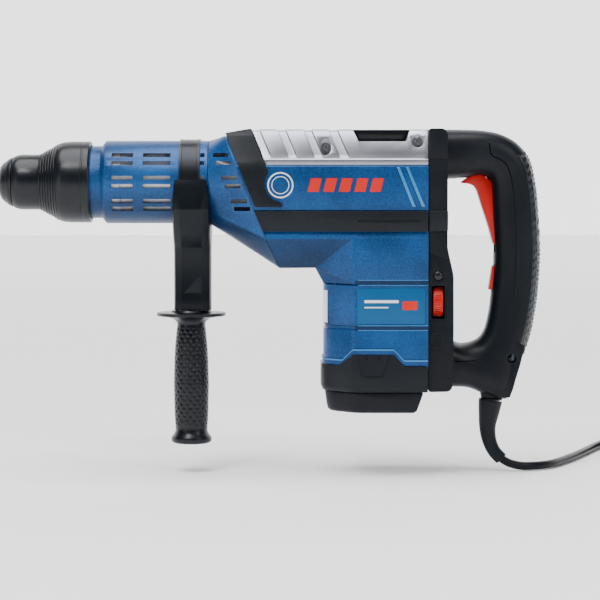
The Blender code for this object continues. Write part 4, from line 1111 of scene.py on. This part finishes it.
def gland_and_relief():
    gland = [(-182, 8), (-186, 9.8), (-189, 9.8), (-194.2, 8.6), (-194.4, 10.2),
             (-194.8, 10.6), (-196, 10.6), (-196.2, 10.4), (-196.2, 5), (-182, 5)]
    piece("gland", lathe(gland, 72, "Z", (441.9, 0)), "rubber_soft", "cable_gland")
    stops = [(441.8, -196.5, 10.8), (440.6, -206, 9.6), (439.2, -219.5, 7.6),
             (440.6, -231.5, 6.6), (445, -242, 6), (451.8, -249.6, 5.9)]
    line = smooth_curve([(x, 0, z) for x, z, _ in stops], 12)
    sizes = smooth_curve([(radius, 0, 0) for _, _, radius in stops], 12)
    side = Vector((0, 1, 0))
    rings = []
    for point, size, ahead in zip(line, sizes, headings(line)):
        up = ahead.cross(side)
        rings.append([tuple(point + (side * c + up * s) * size.x) for c, s in circle(64)])
    piece("relief", lofted(rings), "rubber_soft", "strain_relief", round_by=0.5, sharp=50)


# ---- markings, floor and light


def markings():
    """Plain shapes where the tool carries its lettering: rings, blocks and short bars."""
    rings = [both_lathes([(47.2, low), (48.15, low), (48.15, high), (47.2, high)], 96, 252.8, -2.7)
             for low, high in ((10.2, 11.4), (7.2, 7.8))]
    piece("badge_rings", merged(*rings), "white_print")
    lines = [both(rectangle(x, z, x + long, z + tall, 0.45), 49.6, 49.95)
             for x, z, long, tall in ((326.6, -106, 30, 2.4), (326.6, -110.6, 21, 1.1))]
    piece("panel_lines", merged(*lines), "white_print")
    blocks = []
    for x in [276.6 + 13.6 * block for block in range(5)]:
        block = [(x, -8.6), (x + 9.6, -8.6), (x + 12.6, 3.4), (x + 3, 3.4)]
        blocks.append(both(filleted(block, 0.9), 47.2, 48.15))
    piece("red_stripes", merged(*blocks), "red")
    piece("strip_bars", both(rectangle(320, -32.9, 376, -35.4, 1.1), 49.6, 50.05), "dark_gloss")


def light(name, kind, place, towards, **settings):
    """A lamp at a place, aimed at a point."""
    data = bpy.data.lights.new(name, kind)
    for key, value in settings.items():
        setattr(data, key, value)
    lamp = linked(name, data)
    lamp.location = place
    lamp.rotation_euler = (towards - place).to_track_quat("-Z", "Y").to_euler()
    lamp.visible_camera = False


BACKDROP_GLOW = 1.55
WORLD_GLOW = 0.02
OVERHEAD = 4.6


def backdrop_finish(name, colour, glow):
    nodes = Nodes(name)
    nodes.feed(nodes.shader, {"Base Color": colour, "Roughness": 0.9,
                              "Emission Color": (1.0, 1.0, 1.0), "Emission Strength": glow})
    return nodes.material


def floor_and_light():
    wide, near, far, high, low = 30000, -8000, 9000, 12000, FLOOR - 0.4
    flat = [(x, y, low) for x, y in rectangle(-wide, near, wide, far)]
    upright = [(x, far, z) for x, z in rectangle(-wide, low, wide, high)]
    ground = loose("floor", (flat, [[0, 1, 2, 3]]))
    wall = loose("backdrop", (upright, [[0, 1, 2, 3]]))
    for made, colour, glow in ((ground, (0.93, 0.93, 0.94), 0.0),
                               (wall, (0.9, 0.9, 0.9), BACKDROP_GLOW)):
        made.data.materials.clear()
        made.data.materials.append(backdrop_finish("pale_" + made.name, colour, glow))
    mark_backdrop(ground, wall)
    world = bpy.data.worlds.new("world")
    world.use_nodes = True
    world.node_tree.nodes["Background"].inputs["Color"].default_value = (0.9, 0.95, 1.0, 1.0)
    world.node_tree.nodes["Background"].inputs["Strength"].default_value = WORLD_GLOW
    bpy.context.scene.world = world
    light("overhead", "SUN", Vector((0, 0, 0)), Vector((0.12, 0.10, -1.0)),
          energy=OVERHEAD, angle=radians(50))
    for name, place, size, size_y, energy in (("key", at(-200, -800, 950), 0.3, 0.3, 8.0),
                                              ("side", at(1100, -750, 500), 0.2, 0.6, 4.5),
                                              ("low", at(-600, -850, 0), 0.12, 0.6, 1.2)):
        light(name, "AREA", place, at(270, 0, -60), shape="RECTANGLE", size=size, size_y=size_y,
              energy=energy)


add_camera()
for row in FINISH_ROWS:
    finish(*row)
cord()
finish_inner_nodes()
chuck()
barrel()
cone()
band()
yoke()
side_grip()
gear_case()
guard()
strips()
cover()
knob()
motor_case()
base()
rear_case()
dial()
handle()
pad()
controls()
gland_and_relief()
markings()
floor_and_light()
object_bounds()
